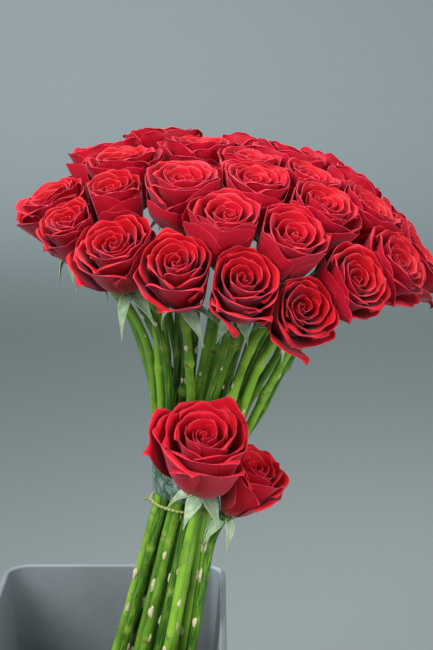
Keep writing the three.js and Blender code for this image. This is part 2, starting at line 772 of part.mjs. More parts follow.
for (const rose of longRoses) {
  addInBunch(`bloom_${two(rose.number)}`, [bloom(rose)], COLOUR.petal, 0.55);
}
shortRoses.forEach((rose, i) => {
  addInBunch(`short_bloom_${i + 1}`, [bloom(rose)], COLOUR.shortPetal, 0.55);
  addInBunch(`short_stem_${i + 1}`, greenOf(rose, 5), COLOUR.stem, 0.5);
});
for (const rose of longRoses.filter((r) => !isInner(r))) {
  addInBunch(`stem_${two(rose.number)}`, greenOf(rose, 4), COLOUR.stem, 0.5);
}
addInBunch('inner_stems', longRoses.filter(isInner).flatMap((r) => greenOf(r, 2)), COLOUR.inner, 0.5);

export default group;
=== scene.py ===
"""Roses in a vase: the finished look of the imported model.

Thirty-three long roses tied into one leaning, domed bunch, with two short roses
in front of the tie, standing in the water of a square bucket.  Shapes are worked
out in millimetres in the bunch's own frame, whose origin is at the tie and whose
+Z runs up the bunch, and are carried to the vase's frame and to metres at the end.
"""
from functools import cache
from math import atan2, cos, floor, hypot, pi, sin, sqrt

import bpy
import numpy as np
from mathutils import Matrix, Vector


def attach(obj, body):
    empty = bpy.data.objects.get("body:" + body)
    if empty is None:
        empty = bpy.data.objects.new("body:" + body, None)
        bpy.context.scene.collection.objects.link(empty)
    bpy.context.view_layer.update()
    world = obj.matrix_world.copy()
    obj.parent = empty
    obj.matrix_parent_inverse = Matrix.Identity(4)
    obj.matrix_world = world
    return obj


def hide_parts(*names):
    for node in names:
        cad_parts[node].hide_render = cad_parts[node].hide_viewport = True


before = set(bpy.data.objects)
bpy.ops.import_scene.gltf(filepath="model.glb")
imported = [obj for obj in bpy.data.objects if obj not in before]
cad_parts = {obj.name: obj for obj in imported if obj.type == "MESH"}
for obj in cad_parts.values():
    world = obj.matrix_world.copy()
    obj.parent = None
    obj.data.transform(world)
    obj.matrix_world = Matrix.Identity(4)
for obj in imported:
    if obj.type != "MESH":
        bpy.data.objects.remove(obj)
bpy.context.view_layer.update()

MM = 0.001
DEG = pi / 180
UP = np.array([0.0, 0.0, 1.0])

# ------------------------------------------------------- dimensions, as in the CAD

BUNCH_TIE = np.array([68.5, 0.0, 352.0])
BUNCH_LEAN = 10.5 * DEG

# The share of its tilt that a rose leans out by, from the left side to the right, and
# the share that its stem comes at.
AXIS_SHARE, LEANING_SIDE, COMES_SHARE = (0.45, 0.65), (-60, 120), 0.8

# A cup: its height and rim, its foot, its belly, and how it opens above that.
CUP_HEIGHT, CUP_RADIUS, CUP_REACH = 47.0, 31, (-6, 60)
CUP_FOOT, BELLY_RADIUS, BELLY_HEIGHT, CUP_OPENS = 5.5, 23, 19, 0.4

# How wide a long rose opens among its neighbours, and how softly touching cups give way.
LEAST_OPEN, ROOM_SHARE, LAP, NEIGHBOURS, TOUCHING = 31.5, 0.56, 5, 5, 1.6
CELL_GAP, CELL_SOFT = 0.75, 4.2

# The face of the tied stems that the short roses rest beside.
FACE_OUT, FACE_RISE = 33.0, 0.15

# The hip, and the stems: packed like honeycomb at the tie, spreading and slanting from it.
HIP_HEIGHT, HIP_GAP, HIP_WIDEST = 9.0, 0.35, 0.55
PITCH, RINGS, STEM_NECK, FOOT_Z = 8.6, 3, 2.9, 3.3
SPREAD, SLANT, SLANT_TOP, TIE_TOP = 0.0034, 0.0016, 60, 12.0

# A stem's curve from the tie to its rose: shares of the way, and how straight it leaves,
# straighter on the side that the bunch leans to.
LEAVE, ARRIVE, STRAIGHT, CURVE_SIDE = 0.36, (0.34, 0.22), (0.45, 0.95), 110
STEPS, ROW_STEPS = 14, (2, 5, 10)

# How stems are kept apart: their room, which pairs are looked at, the rounds, the share
# made good in each, and the share passed on.
STEM_CLEAR, PAIR_REACH, ROUNDS, PUSH, EASE = 10.0, 50, 120, 0.3, 0.2

# The dome of the long roses' rims, and each one's azimuth and tilt in degrees: the skirt,
# the ones seen from above, then the back.
DOME = dict(across=162, front=148, back=120, rise=76, centre=230, lift=0.25)
ROWS = [
    [-126, 86], [-106, 86], [-87, 87], [-69, 99], [-54, 79], [-32, 70], [-6, 71],
    [-168, 78], [-146, 82],
    [-140, 57], [-120, 39], [-96, 54], [-74, 59], [-54, 40], [-85, 29], [-20, 43],
    [-164, 41],
    [162, 16], [-84, 8], [-27, 21], [48, 19], [24, 40], [165, 51], [135, 42], [54, 45],
    [25, 80], [51, 87], [73, 82], [93, 81], [114, 80], [136, 84], [161, 90], [90, 50],
]

# The numbers, from 1, of the skirt's roses and of those seen from above.
SKIRT, UPPER = range(1, 10), range(10, 26)

# The two short roses, the main one first.
SHORT = [
    dict(foot=(11.6, -50, 29.5), faces=(-0.1, -0.47, 0.86), size=1.4, radius=41, firm=1.3,
         passes=(9, -39, -14), stands=(8, -70)),
    dict(foot=(36, -46, 10), faces=(0.3, -0.2, 0.93), size=1.1, radius=32, firm=1,
         passes=(28.8, -33.2, -26), stands=(31.5, -63.2)),
]
MAIN_SIZE = SHORT[0]["size"]


# ----------------------------------------------------------------- small helpers

outer, norm = np.multiply.outer, np.linalg.norm


def draw(n):
    """A repeatable draw from 0 to 1 for a number."""
    s = sin(n * 127.1 + 311.7) * 43758.5453
    return s - floor(s)


def unit(v):
    v = np.asarray(v, float)
    return v / norm(v)


def mix(a, b, t):
    return a + (b - a) * t


def ramp(x, low, high):
    t = np.clip((x - low) / (high - low), 0, 1)
    return t * t * (3 - 2 * t)


def bearing(p):
    return atan2(p[1], p[0])


def lengths_along(path):
    """How far each point of a path is from its start."""
    return np.r_[0, np.cumsum(norm(np.diff(path, axis=0), axis=1))]


def smoothed(values, reach):
    """Values round a ring, each the mean of those up to reach places away."""
    return sum(np.roll(values, s) for s in range(-reach, reach + 1)) / (2 * reach + 1)


def to_vase(points):
    """From the bunch's frame to the vase's, in millimetres."""
    p = np.asarray(points, float)
    c, s = cos(BUNCH_LEAN), sin(BUNCH_LEAN)
    x = p[..., 0] * c + p[..., 2] * s
    z = -p[..., 0] * s + p[..., 2] * c
    return np.stack([x, p[..., 1], z], -1) + BUNCH_TIE


# ------------------------------------------------------------- where the roses go

class Rose:
    """A rose: its number, its rim, axis and foot, and how wide, firm and turned it is."""

    def __init__(self, number, rim, axis, foot, turn, size=1, radius=CUP_RADIUS, firm=1, spec=None):
        self.number, self.rim, self.axis, self.foot, self.turn = number, rim, axis, foot, turn
        self.size, self.radius, self.firm, self.spec = size, radius, firm, spec
        self.main = size == MAIN_SIZE
        # How wide the petals stand, and the ring that the outermost one stands on, in mm.
        self.width = (0.93 if self.main else 0.9) if spec else 1.0
        self.ring = 38.0 if number in UPPER else 35.5
        self.e1 = unit([axis[2], 0, -axis[0]])
        self.e2 = np.cross(axis, self.e1)

    def at(self, radius, angle, height):
        """Places round the rose's axis, at heights above its foot."""
        a = angle + self.turn
        return (self.foot + outer(radius * np.cos(a), self.e1) + outer(radius * np.sin(a), self.e2)
                + outer(height, self.axis))


def heading(azimuth, lean):
    """The way that leans out from straight up, towards an azimuth."""
    out = sin(lean)
    return np.array([out * cos(azimuth), out * sin(azimuth), cos(lean)])


def long_rose(azimuth, tilt, number):
    a, t = azimuth * DEG, tilt * DEG
    reach = sin(t)
    y = reach * sin(a) * (DOME["front"] if sin(a) < 0 else DOME["back"])
    z = DOME["centre"] + DOME["rise"] * cos(t) + DOME["lift"] * max(0, y)
    rim = np.array([DOME["across"] * reach * cos(a), y, z])
    axis = heading(a, t * mix(*AXIS_SHARE, ramp(rim[0], *LEANING_SIDE)))
    rose = Rose(number, rim, axis, rim - axis * CUP_HEIGHT, draw(number) * 2 * pi)
    rose.comes = heading(a, t * COMES_SHARE)
    return rose


def short_rose(spec, number):
    foot, axis = np.array(spec["foot"], float), unit(spec["faces"])
    rim = foot + axis * CUP_HEIGHT * spec["size"]
    return Rose(number, rim, axis, foot, number, spec["size"], spec["radius"], spec["firm"], spec)


long_roses = [long_rose(a, t, i + 1) for i, (a, t) in enumerate(ROWS)]
short_roses = [short_rose(s, len(long_roses) + 1 + i) for i, s in enumerate(SHORT)]
roses = long_roses + short_roses

for rose in long_roses:
    near = sorted(norm(o.rim - rose.rim) for o in long_roses if o is not rose)[:NEIGHBOURS]
    rose.radius = min(near[0] / 2 + LAP, max(LEAST_OPEN, sum(near) / NEIGHBOURS * ROOM_SHARE))


def walls_of(rose):
    """The planes half-way to a rose's neighbours, as (point, normal) pairs."""
    walls = []
    for other in roses:
        apart = norm(other.rim - rose.rim)
        if other is not rose and apart < TOUCHING * (rose.radius + other.radius):
            own, theirs = rose.radius * rose.firm, other.radius * other.firm
            share = own / (own + theirs)
            high = mix(rose.rim, other.rim, share)
            along = unit(high - mix(rose.foot, other.foot, share))
            across = other.rim - rose.rim + other.foot - rose.foot
            walls.append((high, unit(across - along * (across @ along))))
    if rose.spec:
        away = unit([rose.foot[0], rose.foot[1], 0])
        rises = unit(away * FACE_RISE + UP)
        walls.append((away * FACE_OUT, -unit(away - rises * (away @ rises))))
    return walls


def press(points, walls):
    """Presses points back inside the walls, more gently the further in they are."""
    p = points.reshape(-1, 3).copy()
    for _ in range(2):
        for point, normal in walls:
            past = (p - point) @ normal + CELL_GAP + CELL_SOFT
            kept = CELL_SOFT * (1 - np.exp(-np.maximum(past, 0) / CELL_SOFT))
            p += outer(np.where(past > 0, kept - past, 0), normal)
    return p.reshape(points.shape)


# --------------------------------------------------------------- the stems' lines

def honeycomb():
    """The stems' places at the tie with their rings, four corners of the last left out."""
    sites = []
    for q in range(-RINGS, RINGS + 1):
        for r in range(-RINGS, RINGS + 1):
            ring = max(abs(q), abs(r), abs(q + r))
            corner = ring == RINGS and q * r * (q + r) == 0
            if ring <= RINGS and not (corner and abs(q - r) != 2 * RINGS):
                sites.append((ring, (PITCH * (q + r / 2), PITCH * r * sqrt(3) / 2)))
    return sites


def give_sites():
    """Gives each long rose a place at the tie, on the side that its bloom is on."""
    waiting = sorted(long_roses, key=lambda o: hypot(*o.foot[:2]))
    for ring in range(RINGS + 1):
        own = sorted((site for site_ring, site in honeycomb() if site_ring == ring), key=bearing)
        takers, waiting = waiting[:len(own)], waiting[len(own):]
        takers.sort(key=lambda o: bearing(o.foot))

        def cost(shift):
            turns = [bearing(own[(i + shift) % len(own)]) - bearing(o.foot) for i, o in enumerate(takers)]
            return sum(atan2(sin(d), cos(d)) ** 2 for d in turns)

        shift = min(range(len(own)), key=cost)
        for i, rose in enumerate(takers):
            rose.site = own[(i + shift) % len(own)]


def in_bundle(site, z):
    """A stem's place in the tied bundle at a height, or at several heights."""
    z = np.asarray(z, float)
    wide = 1 + SPREAD * np.abs(z)
    slant = SLANT * z
    return np.stack([site[0] * wide - site[1] * slant, site[0] * slant + site[1] * wide, z], -1)


def floor_under(x):
    """Where the stems' feet stand, as a height in the bunch's own frame."""
    return (FOOT_Z - BUNCH_TIE[2] + x * sin(BUNCH_LEAN)) / cos(BUNCH_LEAN)


def hip_foot(rose):
    return rose.foot - rose.axis * (HIP_GAP + HIP_HEIGHT * rose.size)


def free_route(rose):
    """A stem's curve from the tie to its hip, before it makes room for the others."""
    start, end = in_bundle(rose.site, TIE_TOP), hip_foot(rose)
    far = norm(end - start)
    leaning = min(1, max(0, end[0] / CURVE_SIDE))
    leave = mix(start + UP * far * LEAVE, mix(start, end, LEAVE), mix(*STRAIGHT, leaning))
    arrive = end - rose.comes * far * mix(*ARRIVE, leaning)
    t = np.linspace(0, 1, STEPS + 1)[:, None]
    return ((1 - t) ** 3 * start + 3 * (1 - t) ** 2 * t * leave
            + 3 * (1 - t) * t ** 2 * arrive + t ** 3 * end)


def nearest(a, b, c, d):
    """Nearest approach of a-b and c-d: the gap from the second, and the share along each."""
    u, v, w = b - a, d - c, a - c
    dot = lambda p, q: (p * q).sum(-1)
    uu, uv, vv, uw, vw = dot(u, u), dot(u, v), dot(v, v), dot(u, w), dot(v, w)
    det = uu * vv - uv * uv
    s = np.where(det > 1e-6, (uv * vw - vv * uw) / np.where(det > 1e-6, det, 1), 0)
    s = np.clip(s, 0, 1)
    t = np.clip((uv * s + vw) / vv, 0, 1)
    s = np.clip((uv * t - uw) / uu, 0, 1)
    return a + u * s[..., None] - c - v * t[..., None], s, t


def make_room(routes):
    """Stems that come too close above the tie bend aside, smoothly."""
    lines = np.array(routes)
    shifts = np.zeros_like(lines)
    stems, points = lines.shape[:2]
    one, p, two, q = np.meshgrid(range(stems), range(points - 1), range(stems), range(points - 1),
                                 indexing="ij")
    keep = one < two
    middle = (lines[:, 1:] + lines[:, :-1]) / 2
    apart = norm(middle[one[keep], p[keep]] - middle[two[keep], q[keep]], axis=-1)
    close = apart < PAIR_REACH
    one, p, two, q = (x[keep][close] for x in (one, p, two, q))
    for _ in range(ROUNDS):
        now = lines + shifts
        a, b, c, d = now[one, p], now[one, p + 1], now[two, q], now[two, q + 1]
        near = np.abs(a[:, 2] - c[:, 2]) < STEM_CLEAR * 2
        gap, s, t = nearest(a[near], b[near], c[near], d[near])
        length = norm(gap, axis=-1)
        short = STEM_CLEAR - length
        hit = short > 0
        push = gap[hit] * (short[hit] * PUSH / np.maximum(length[hit], 1e-9))[:, None]
        s, t = s[hit][:, None], t[hit][:, None]
        i1, p1, i2, p2 = (x[near][hit] for x in (one, p, two, q))
        np.add.at(shifts, (i1, p1), push * (1 - s))
        np.add.at(shifts, (i1, p1 + 1), push * s)
        np.add.at(shifts, (i2, p2), push * (t - 1))
        np.add.at(shifts, (i2, p2 + 1), -push * t)
        eased = np.zeros_like(shifts)
        eased[:, 1:-1] = shifts[:, 1:-1] * (1 - 2 * EASE) + (shifts[:, :-2] + shifts[:, 2:]) * EASE
        shifts = eased
    return lines + shifts


def hip_rows(rose):
    """The foot, the widest place and the top of the hip."""
    return [hip_foot(rose) + rose.axis * h * rose.size for h in (0, HIP_HEIGHT * HIP_WIDEST, HIP_HEIGHT)]


def settle_stems():
    give_sites()
    routes = make_room([free_route(r) for r in long_roses])
    for rose, route in zip(long_roses, routes):
        low = floor_under(in_bundle(rose.site, -BUNCH_TIE[2])[0])
        rose.route = route
        rose.low = in_bundle(rose.site, low)
        rose.rows = [rose.low, in_bundle(rose.site, 0), *(route[k] for k in ROW_STEPS), *hip_rows(rose)]
    for rose in short_roses:
        x, y = rose.spec["stands"]
        rose.low = np.array([x, y, floor_under(x)], float)
        rose.rows = [rose.low, np.array(rose.spec["passes"], float), *hip_rows(rose)]


settle_stems()


# ----------------------------------------------------------------- sepals' places

# Sepals: their size, the room that they keep from stems, cups and other roses' sepals,
# the angles below level that they are tried at, and where and how they leave the hip.
SEPAL = dict(length=30, width=7.5, clear=7.8, apart=6.5, cup=4, fall=(35, 62, 12, 80, -12),
             root=0.22, out=3, arch=6, share=(0.75, 1.15))
placed_sepals = []


def section_way(along, z, side):
    """Which way a side of a six-sided stem faces at a height."""
    turn = side * pi / 3 + min(SLANT_TOP, max(0, z)) * SLANT
    out = np.array([-sin(turn), cos(turn), 0])
    return unit(out - along * (out @ along))


def sepal_line(rose, way, fall, k):
    length = SEPAL["length"] * mix(*SEPAL["share"], draw(rose.number * 3 + k)) * sqrt(rose.size)
    root = rose.foot - rose.axis * (HIP_GAP + HIP_HEIGHT * SEPAL["root"] * rose.size)

    def out(share, bend):
        a, reach = (fall + bend) * DEG, share * length
        return root + way * (SEPAL["out"] + reach * cos(a)) - rose.axis * reach * sin(a)

    return np.array([out(0, 0), out(0.5, -SEPAL["arch"]), out(1, SEPAL["arch"])])


def line_gap(one, two):
    a, b = one[:-1, None], one[1:, None]
    gap, _, _ = nearest(a + 0 * two[:-1], b + 0 * two[:-1], two[:-1] + 0 * a, two[1:] + 0 * a)
    return norm(gap, axis=-1).min()


def near_cup(p, rose):
    """Whether a point is in or close to a rose's cup."""
    away = p - rose.foot
    height = (away @ rose.axis) / rose.size
    radius = norm(away - rose.axis * (away @ rose.axis))
    wall = CUP_FOOT + height * (BELLY_RADIUS - CUP_FOOT) / BELLY_HEIGHT
    if height >= BELLY_HEIGHT:
        wall = BELLY_RADIUS + (height - BELLY_HEIGHT) * CUP_OPENS
    low, high = CUP_REACH
    return low < height < high and radius < wall * rose.radius / CUP_RADIUS + SEPAL["cup"]


def has_room(rose, line):
    """Whether a sepal keeps clear of all cups, other stems and other roses' sepals."""
    if any(near_cup(p, other) for p in line[1:] for other in roses):
        return False
    if any(o is not rose and line_gap(line, np.array(o.rows)) <= SEPAL["clear"] for o in roses):
        return False
    placed = [other_line for other, other_line in placed_sepals if other is not rose]
    return all(line_gap(line[1:], other_line) > SEPAL["apart"] for other_line in placed)


def sepals_of(rose, count):
    """Finds places for up to count sepals, where nothing is in the way."""
    phase = draw(rose.number * 5) * 6
    rose.sepals = []
    for k in range(count):
        way = section_way(rose.axis, rose.foot[2], floor(phase + k * 6 / count + 0.5) + 0.5)
        for fall in SEPAL["fall"]:
            line = sepal_line(rose, way, fall, k)
            if has_room(rose, line):
                placed_sepals.append((rose, line))
                rose.sepals.append(line)
                break


outer_roses = [r for r in long_roses if f"stem_{r.number:02d}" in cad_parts]
inner_roses = [r for r in long_roses if r not in outer_roses]
for members, count in ((short_roses, 5), (outer_roses, 4), (inner_roses, 2)):
    for rose in members:
        sepals_of(rose, count)


# ------------------------------------------------------------------- mesh builder

class Skin:
    """Gathers closed shells into one mesh, with two vectors kept at each point.

    place says where on its own part a point is, and own holds that part's tones.
    """

    def __init__(self):
        self.points, self.faces, self.place, self.own = [], [], [], []
        self.count = 0

    def add(self, points, faces, place=(0, 0, 0), own=(0, 0, 0)):
        self.points.append(points)
        self.faces.extend([tuple(c + self.count for c in f) for f in faces])
        for rows, values in ((self.place, place), (self.own, own)):
            rows.append(np.broadcast_to(np.asarray(values, float), (len(points), 3)))
        self.count += len(points)

    def shell(self, grid, thick, u, v, own):
        """A sheet given as a grid of points, made into a thin closed shell."""
        nu, nv = grid.shape[:2]
        normal = np.cross(np.gradient(grid, axis=0), np.gradient(grid, axis=1))
        normal /= np.maximum(norm(normal, axis=-1, keepdims=True), 1e-9)
        half = np.broadcast_to(thick, (nu, nv))[..., None] / 2
        points = np.concatenate([(grid + normal * half).reshape(-1, 3),
                                 (grid - normal * half).reshape(-1, 3)])
        uv = np.stack(np.broadcast_arrays(u + 0 * v, v + 0 * u), -1).reshape(-1, 2)
        place = np.concatenate([np.c_[uv, np.full(nu * nv, side)] for side in (1, 0)])
        self.add(points, shell_faces(nu, nv), place, own)

    def tube(self, path, radius, sides, own=(0, 0, 0), start_way=(0, 1, 0.1), bulge=None, place=None):
        """A closed round tube along a path.  bulge(k, angle) adds to its radius."""
        path = np.asarray(path, float)
        along = np.gradient(path, axis=0)
        along /= norm(along, axis=1, keepdims=True)
        e1 = unit(np.cross(along[0], start_way))
        angle = np.linspace(0, 2 * pi, sides, endpoint=False)
        length = lengths_along(path)
        rings = []
        for k, p in enumerate(path):
            e1 = unit(e1 - along[k] * (e1 @ along[k]))
            e2 = np.cross(along[k], e1)
            r = radius[k] + (0 if bulge is None else bulge(k, angle))
            rings.append(p + outer(r * np.cos(angle), e1) + outer(r * np.sin(angle), e2))
        points = np.concatenate([*rings, path[:1], path[-1:]])
        if place is None:
            round_it = np.tile(angle / (2 * pi), len(path))
            place = np.c_[np.r_[np.repeat(length, sides), 0, length[-1]], np.r_[round_it, 0, 0],
                          np.zeros(len(points))]
        own = np.asarray(own, float)
        if own.ndim == 2:
            own = np.concatenate([np.repeat(own, sides, axis=0), own[:1], own[-1:]])
        self.add(points, stack_faces(len(path), sides), place, own)

    def mesh(self, name, convert=to_vase):
        points = convert(np.concatenate(self.points)) * MM
        mesh = bpy.data.meshes.new(name)
        mesh.from_pydata(points.tolist(), [], self.faces)
        for label, rows in (("place", self.place), ("own", self.own)):
            data = np.concatenate(rows).astype(np.float32)
            mesh.attributes.new(label, "FLOAT_VECTOR", "POINT").data.foreach_set("vector", data.ravel())
        mesh.shade_smooth()
        mesh.update()
        return mesh


@cache
def shell_faces(nu, nv):
    """Faces of a closed shell of two nu by nv grids, joined round their border."""
    at = lambda i, j, back=0: back * nu * nv + i * nv + j
    faces = []
    for i in range(nu - 1):
        for j in range(nv - 1):
            faces.append((at(i, j), at(i + 1, j), at(i + 1, j + 1), at(i, j + 1)))
            faces.append((at(i, j, 1), at(i, j + 1, 1), at(i + 1, j + 1, 1), at(i + 1, j, 1)))
    border = [(i, 0) for i in range(nu)] + [(nu - 1, j) for j in range(1, nv)]
    border += [(i, nv - 1) for i in range(nu - 2, -1, -1)] + [(0, j) for j in range(nv - 2, 0, -1)]
    for a, b in zip(border, border[1:] + border[:1]):
        faces.append((at(*b), at(*a), at(*a, 1), at(*b, 1)))
    return faces


def stack_faces(rows, sides):
    """Faces of a stack of rings, closed by two end points that come after them."""
    faces = []
    for k in range(rows - 1):
        for s in range(sides):
            t = (s + 1) % sides
            faces.append((k * sides + s, k * sides + t, (k + 1) * sides + t, (k + 1) * sides + s))
    low, last = rows * sides, (rows - 1) * sides
    for s in range(sides):
        t = (s + 1) % sides
        faces += [(low, t, s), (low + 1, last + s, last + t)]
    return faces


def piece(name, mesh, material, slot, *nodes):
    """Puts a mesh in the scene, in place of the solids that are named."""
    obj = bpy.data.objects.new(name, mesh)
    bpy.context.scene.collection.objects.link(obj)
    mesh.materials.append(material)
    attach(obj, "root")
    if nodes:
        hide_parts(*nodes)


# ---------------------------------------------------------------------- materials

class Wire:
    """A value in a material's node tree, which sums and products can be made of."""

    def __init__(self, look, socket):
        self.look, self.socket = look, socket

    def __add__(self, other):
        return self.look.math("ADD", self, other)

    def __sub__(self, other):
        return self.look.math("SUBTRACT", self, other)

    def __mul__(self, other):
        return self.look.math("MULTIPLY", self, other)

    def span(self, low, high, out_low=0.0, out_high=1.0):
        """The value carried smoothly from one range to another, and kept inside it."""
        return self.look.node("MapRange", {"interpolation_type": "SMOOTHSTEP"}, Value=self,
                              From_Min=low, From_Max=high, To_Min=out_low, To_Max=out_high)


class Look:
    """A material's node tree, built by short calls."""

    def __init__(self, name, **shader):
        self.material = bpy.data.materials.new(name)
        self.material.use_nodes = True
        self.tree = self.material.node_tree
        self.tree.nodes.clear()
        output = self.tree.nodes.new("ShaderNodeOutputMaterial")
        self.shader = self.tree.nodes.new("ShaderNodeBsdfPrincipled")
        self.tree.links.new(self.shader.outputs[0], output.inputs[0])
        self.set(self.shader, **shader)

    def set(self, node, **inputs):
        """Sets a node's inputs, by name with _ for a space, or by number after a _."""
        for key, value in inputs.items():
            socket = node.inputs[int(key[1:]) if key[0] == "_" else key.replace("_", " ")]
            if isinstance(value, Wire):
                self.tree.links.new(value.socket, socket)
            else:
                socket.default_value = value

    def node(self, kind, settings=None, out=0, **inputs):
        node = self.tree.nodes.new("ShaderNode" + kind)
        for key, value in (settings or {}).items():
            setattr(node, key, value)
        self.set(node, **inputs)
        return Wire(self, node.outputs[out])

    def math(self, operation, a, b=0.0):
        return self.node("Math", {"operation": operation}, _0=a, _1=b)

    def blend(self, factor, a, b):
        return self.node("Mix", {"data_type": "RGBA"}, 2, _0=factor, _6=a, _7=b)

    def split(self, vector):
        parts = self.node("SeparateXYZ", Vector=vector).socket.node.outputs
        return [Wire(self, part) for part in parts]

    def attribute(self, name):
        return self.split(self.node("Attribute", {"attribute_name": name}, "Vector"))

    def where(self):
        return self.node("TexCoord", out="Object")

    def noise(self, scale, detail=3.0, rough=0.5, vector=None, distort=0.0):
        return self.node("TexNoise", Vector=vector or self.where(), Scale=scale, Detail=detail,
                         Roughness=rough, Distortion=distort)

    def paint(self, base, *coats):
        """A colour under others, each given as where it lies, red, green and blue."""
        for where, *colour in coats:
            base = self.blend(where, base, rgb(*colour))
        return base

    def finish(self, colour, rough, height, strength, distance):
        """Sets the colour, the roughness and a bump, and gives the material."""
        bump = self.node("Bump", Height=height, Strength=strength, Distance=distance)
        self.set(self.shader, Base_Color=colour, Roughness=rough, Normal=bump)
        return self.material


def rgb(r, g, b):
    """A colour given as it looks on a screen, 0 to 255."""
    linear = lambda c: c / 12.92 / 255 if c <= 10 else ((c / 255 + 0.055) / 1.055) ** 2.4
    return (linear(r), linear(g), linear(b), 1.0)


def petal_look(name, lift=0):
    """Velvety red petals: deep at the foot, bright inside, crimson behind, with painted highlights on the
    rims.
    """
    look = Look(name, Sheen_Weight=0.3, Sheen_Roughness=0.35, Sheen_Tint=(1.0, 0.42, 0.6, 1.0),
                Specular_IOR_Level=0.22)
    u, v, back = look.attribute("place")
    tone, whole, _ = look.attribute("own")
    # lift makes a lighter copy of these colours, which is painted light.
    inside = look.paint(rgb(122 + lift, 0, 4), (v.span(0.3, 0.85), 202 + lift, 6, 24))
    behind = look.paint(rgb(134 + lift, 0, 10), (v.span(0.25, 0.95), 196 + lift, 18, 50))
    # Veins fan up the petal from its foot.
    fan = u * (v * -0.5 + 1.5)
    lines = look.math("SINE", (fan + look.noise(60, 2) * 0.35) * 60.0)
    vein = lines.span(0.55, 1.0) * v.span(1.0, 0.55)
    mottle = look.noise(95, 4, 0.6)
    # Painted highlight: the thin rim, and the side edges higher up, are paler, more so in patches.
    rim = v.span(0.94, 1.0) * look.noise(240, 2).span(0.3, 0.6, 0.2, 0.62)
    side = look.math("ABSOLUTE", u).span(0.96, 1.0) * v.span(0.55, 0.95, 0.0, 0.5)
    # The last coat, a pale pink on the rims and side edges, is the painted highlight.
    colour = look.paint(look.blend(back, inside, behind), (whole.span(0.35, 1.0) * 0.4, 222, 32, 60),
                        (vein * 0.16, 150, 0, 10), (mottle.span(0.4, 0.75, 0.0, 0.3), 226, 28, 54),
                        (tone * 0.3, 168, 0, 10), (look.math("MAXIMUM", rim, side), 232, 88, 118))
    return look.finish(colour, mottle.span(0.3, 0.7, 0.42, 0.6),
                       vein * -0.6 + look.noise(1500, 2) * 0.5 + mottle * 1.4, 0.35, 0.0005)


def stem_look(name, light, dark):
    """Smooth waxy stems, each its own green, streaked, with paler scarred joints; painted shade darkens
    them near the bloom.
    """
    look = Look(name, Specular_IOR_Level=0.3, Sheen_Weight=0.03)
    along, turn, _ = look.attribute("place")
    tone, joint, high = look.attribute("own")
    around = turn * (2 * pi)
    ring = look.node("CombineXYZ", _0=look.math("SINE", around), _1=look.math("COSINE", around),
                     _2=along * 0.02)
    streak, patch, spots = look.noise(3.0, 4, 0.6, ring), look.noise(38, 3), look.noise(210, 2, 0.6)
    pale = joint.span(0.1, 1.0) * patch.span(0.3, 0.6, 1.0, 0.2)
    scab = spots.span(0.62, 0.7) * patch.span(0.45, 0.62)
    scar = joint.span(0.55, 0.95) * spots.span(0.54, 0.62)
    worn = look.math("MAXIMUM", scab, scar)
    # high carries painted shade: it darkens the stem higher up and on the hip, under the bloom.
    colour = look.paint(look.blend(tone.span(0.3, 0.7), dark, light),
                        (streak.span(0.4, 0.7, 0.0, 0.6), 146, 194, 52),
                        (patch.span(0.45, 0.75, 0.0, 0.6), 50, 96, 22), (high * 0.25, 60, 104, 36),
                        (pale * 0.62, 168, 204, 84), (worn * 0.85, 96, 66, 38))
    return look.finish(colour, streak.span(0.3, 0.7, 0.28, 0.46),
                       streak * 0.8 + look.noise(700, 3) * 0.5 + worn * 1.4, 0.45, 0.0004)


def sepal_look():
    """Downy sepals: pale mint inside, green outside, with a midrib and pale edges."""
    look = Look("sepal", Sheen_Weight=0.45, Sheen_Roughness=0.4, Sheen_Tint=(0.9, 1.0, 0.9, 1.0),
                Specular_IOR_Level=0.25)
    u, v, outside = look.attribute("place")
    tone, _, _ = look.attribute("own")
    aside = look.math("ABSOLUTE", u)
    patch = look.noise(150, 3)
    mint = look.paint(rgb(150, 182, 140), (patch.span(0.3, 0.7), 198, 220, 192))
    green = look.paint(rgb(92, 134, 56), (patch.span(0.3, 0.7), 132, 170, 84))
    rib = aside.span(0.16, 0.0)
    veins = look.math("SINE", (v * 3.0 + aside) * 40.0)
    colour = look.paint(look.blend(outside, mint, green), (v.span(0.55, 1.0) * 0.55, 120, 150, 60),
                        (rib * 0.5, 214, 230, 190), (aside.span(0.86, 1.0) * 0.7, 232, 238, 222),
                        (tone * 0.5, 96, 140, 62), (veins.span(0.6, 1.0, 0.0, 0.2), 120, 160, 100))
    return look.finish(colour, patch.span(0.3, 0.7, 0.5, 0.7),
                       rib * 1.2 + look.noise(1200, 2) * 0.6 + veins * 0.15, 0.5, 0.0004)


def chip_look():
    """Pale corky scars where thorns and side shoots were taken off."""
    look = Look("cork_scar", Specular_IOR_Level=0.2)
    grain, dirt = look.noise(420, 4, 0.7), look.noise(160, 3)
    colour = look.paint(rgb(196, 186, 142), (grain.span(0.35, 0.7), 232, 226, 192),
                        (dirt.span(0.55, 0.75, 0.0, 0.7), 120, 92, 58))
    return look.finish(colour, 0.8, grain, 0.6, 0.0005)


# On the bucket, in metres from its middle and its foot: where painted light makes the
# inside lighter, how far its walls lean out for their height, its right wall's inner face
# at the foot, and how high dust lies.
PAINTED_LIGHT_RIGHT, PAINTED_LIGHT_HEIGHT = (0.088, 0.097), (0.1, 0.2)
WALL_SLOPE = 22.5 / 245
INNER_FACE = (0.079, 0.0782)
DUST_HEIGHT = 0.06


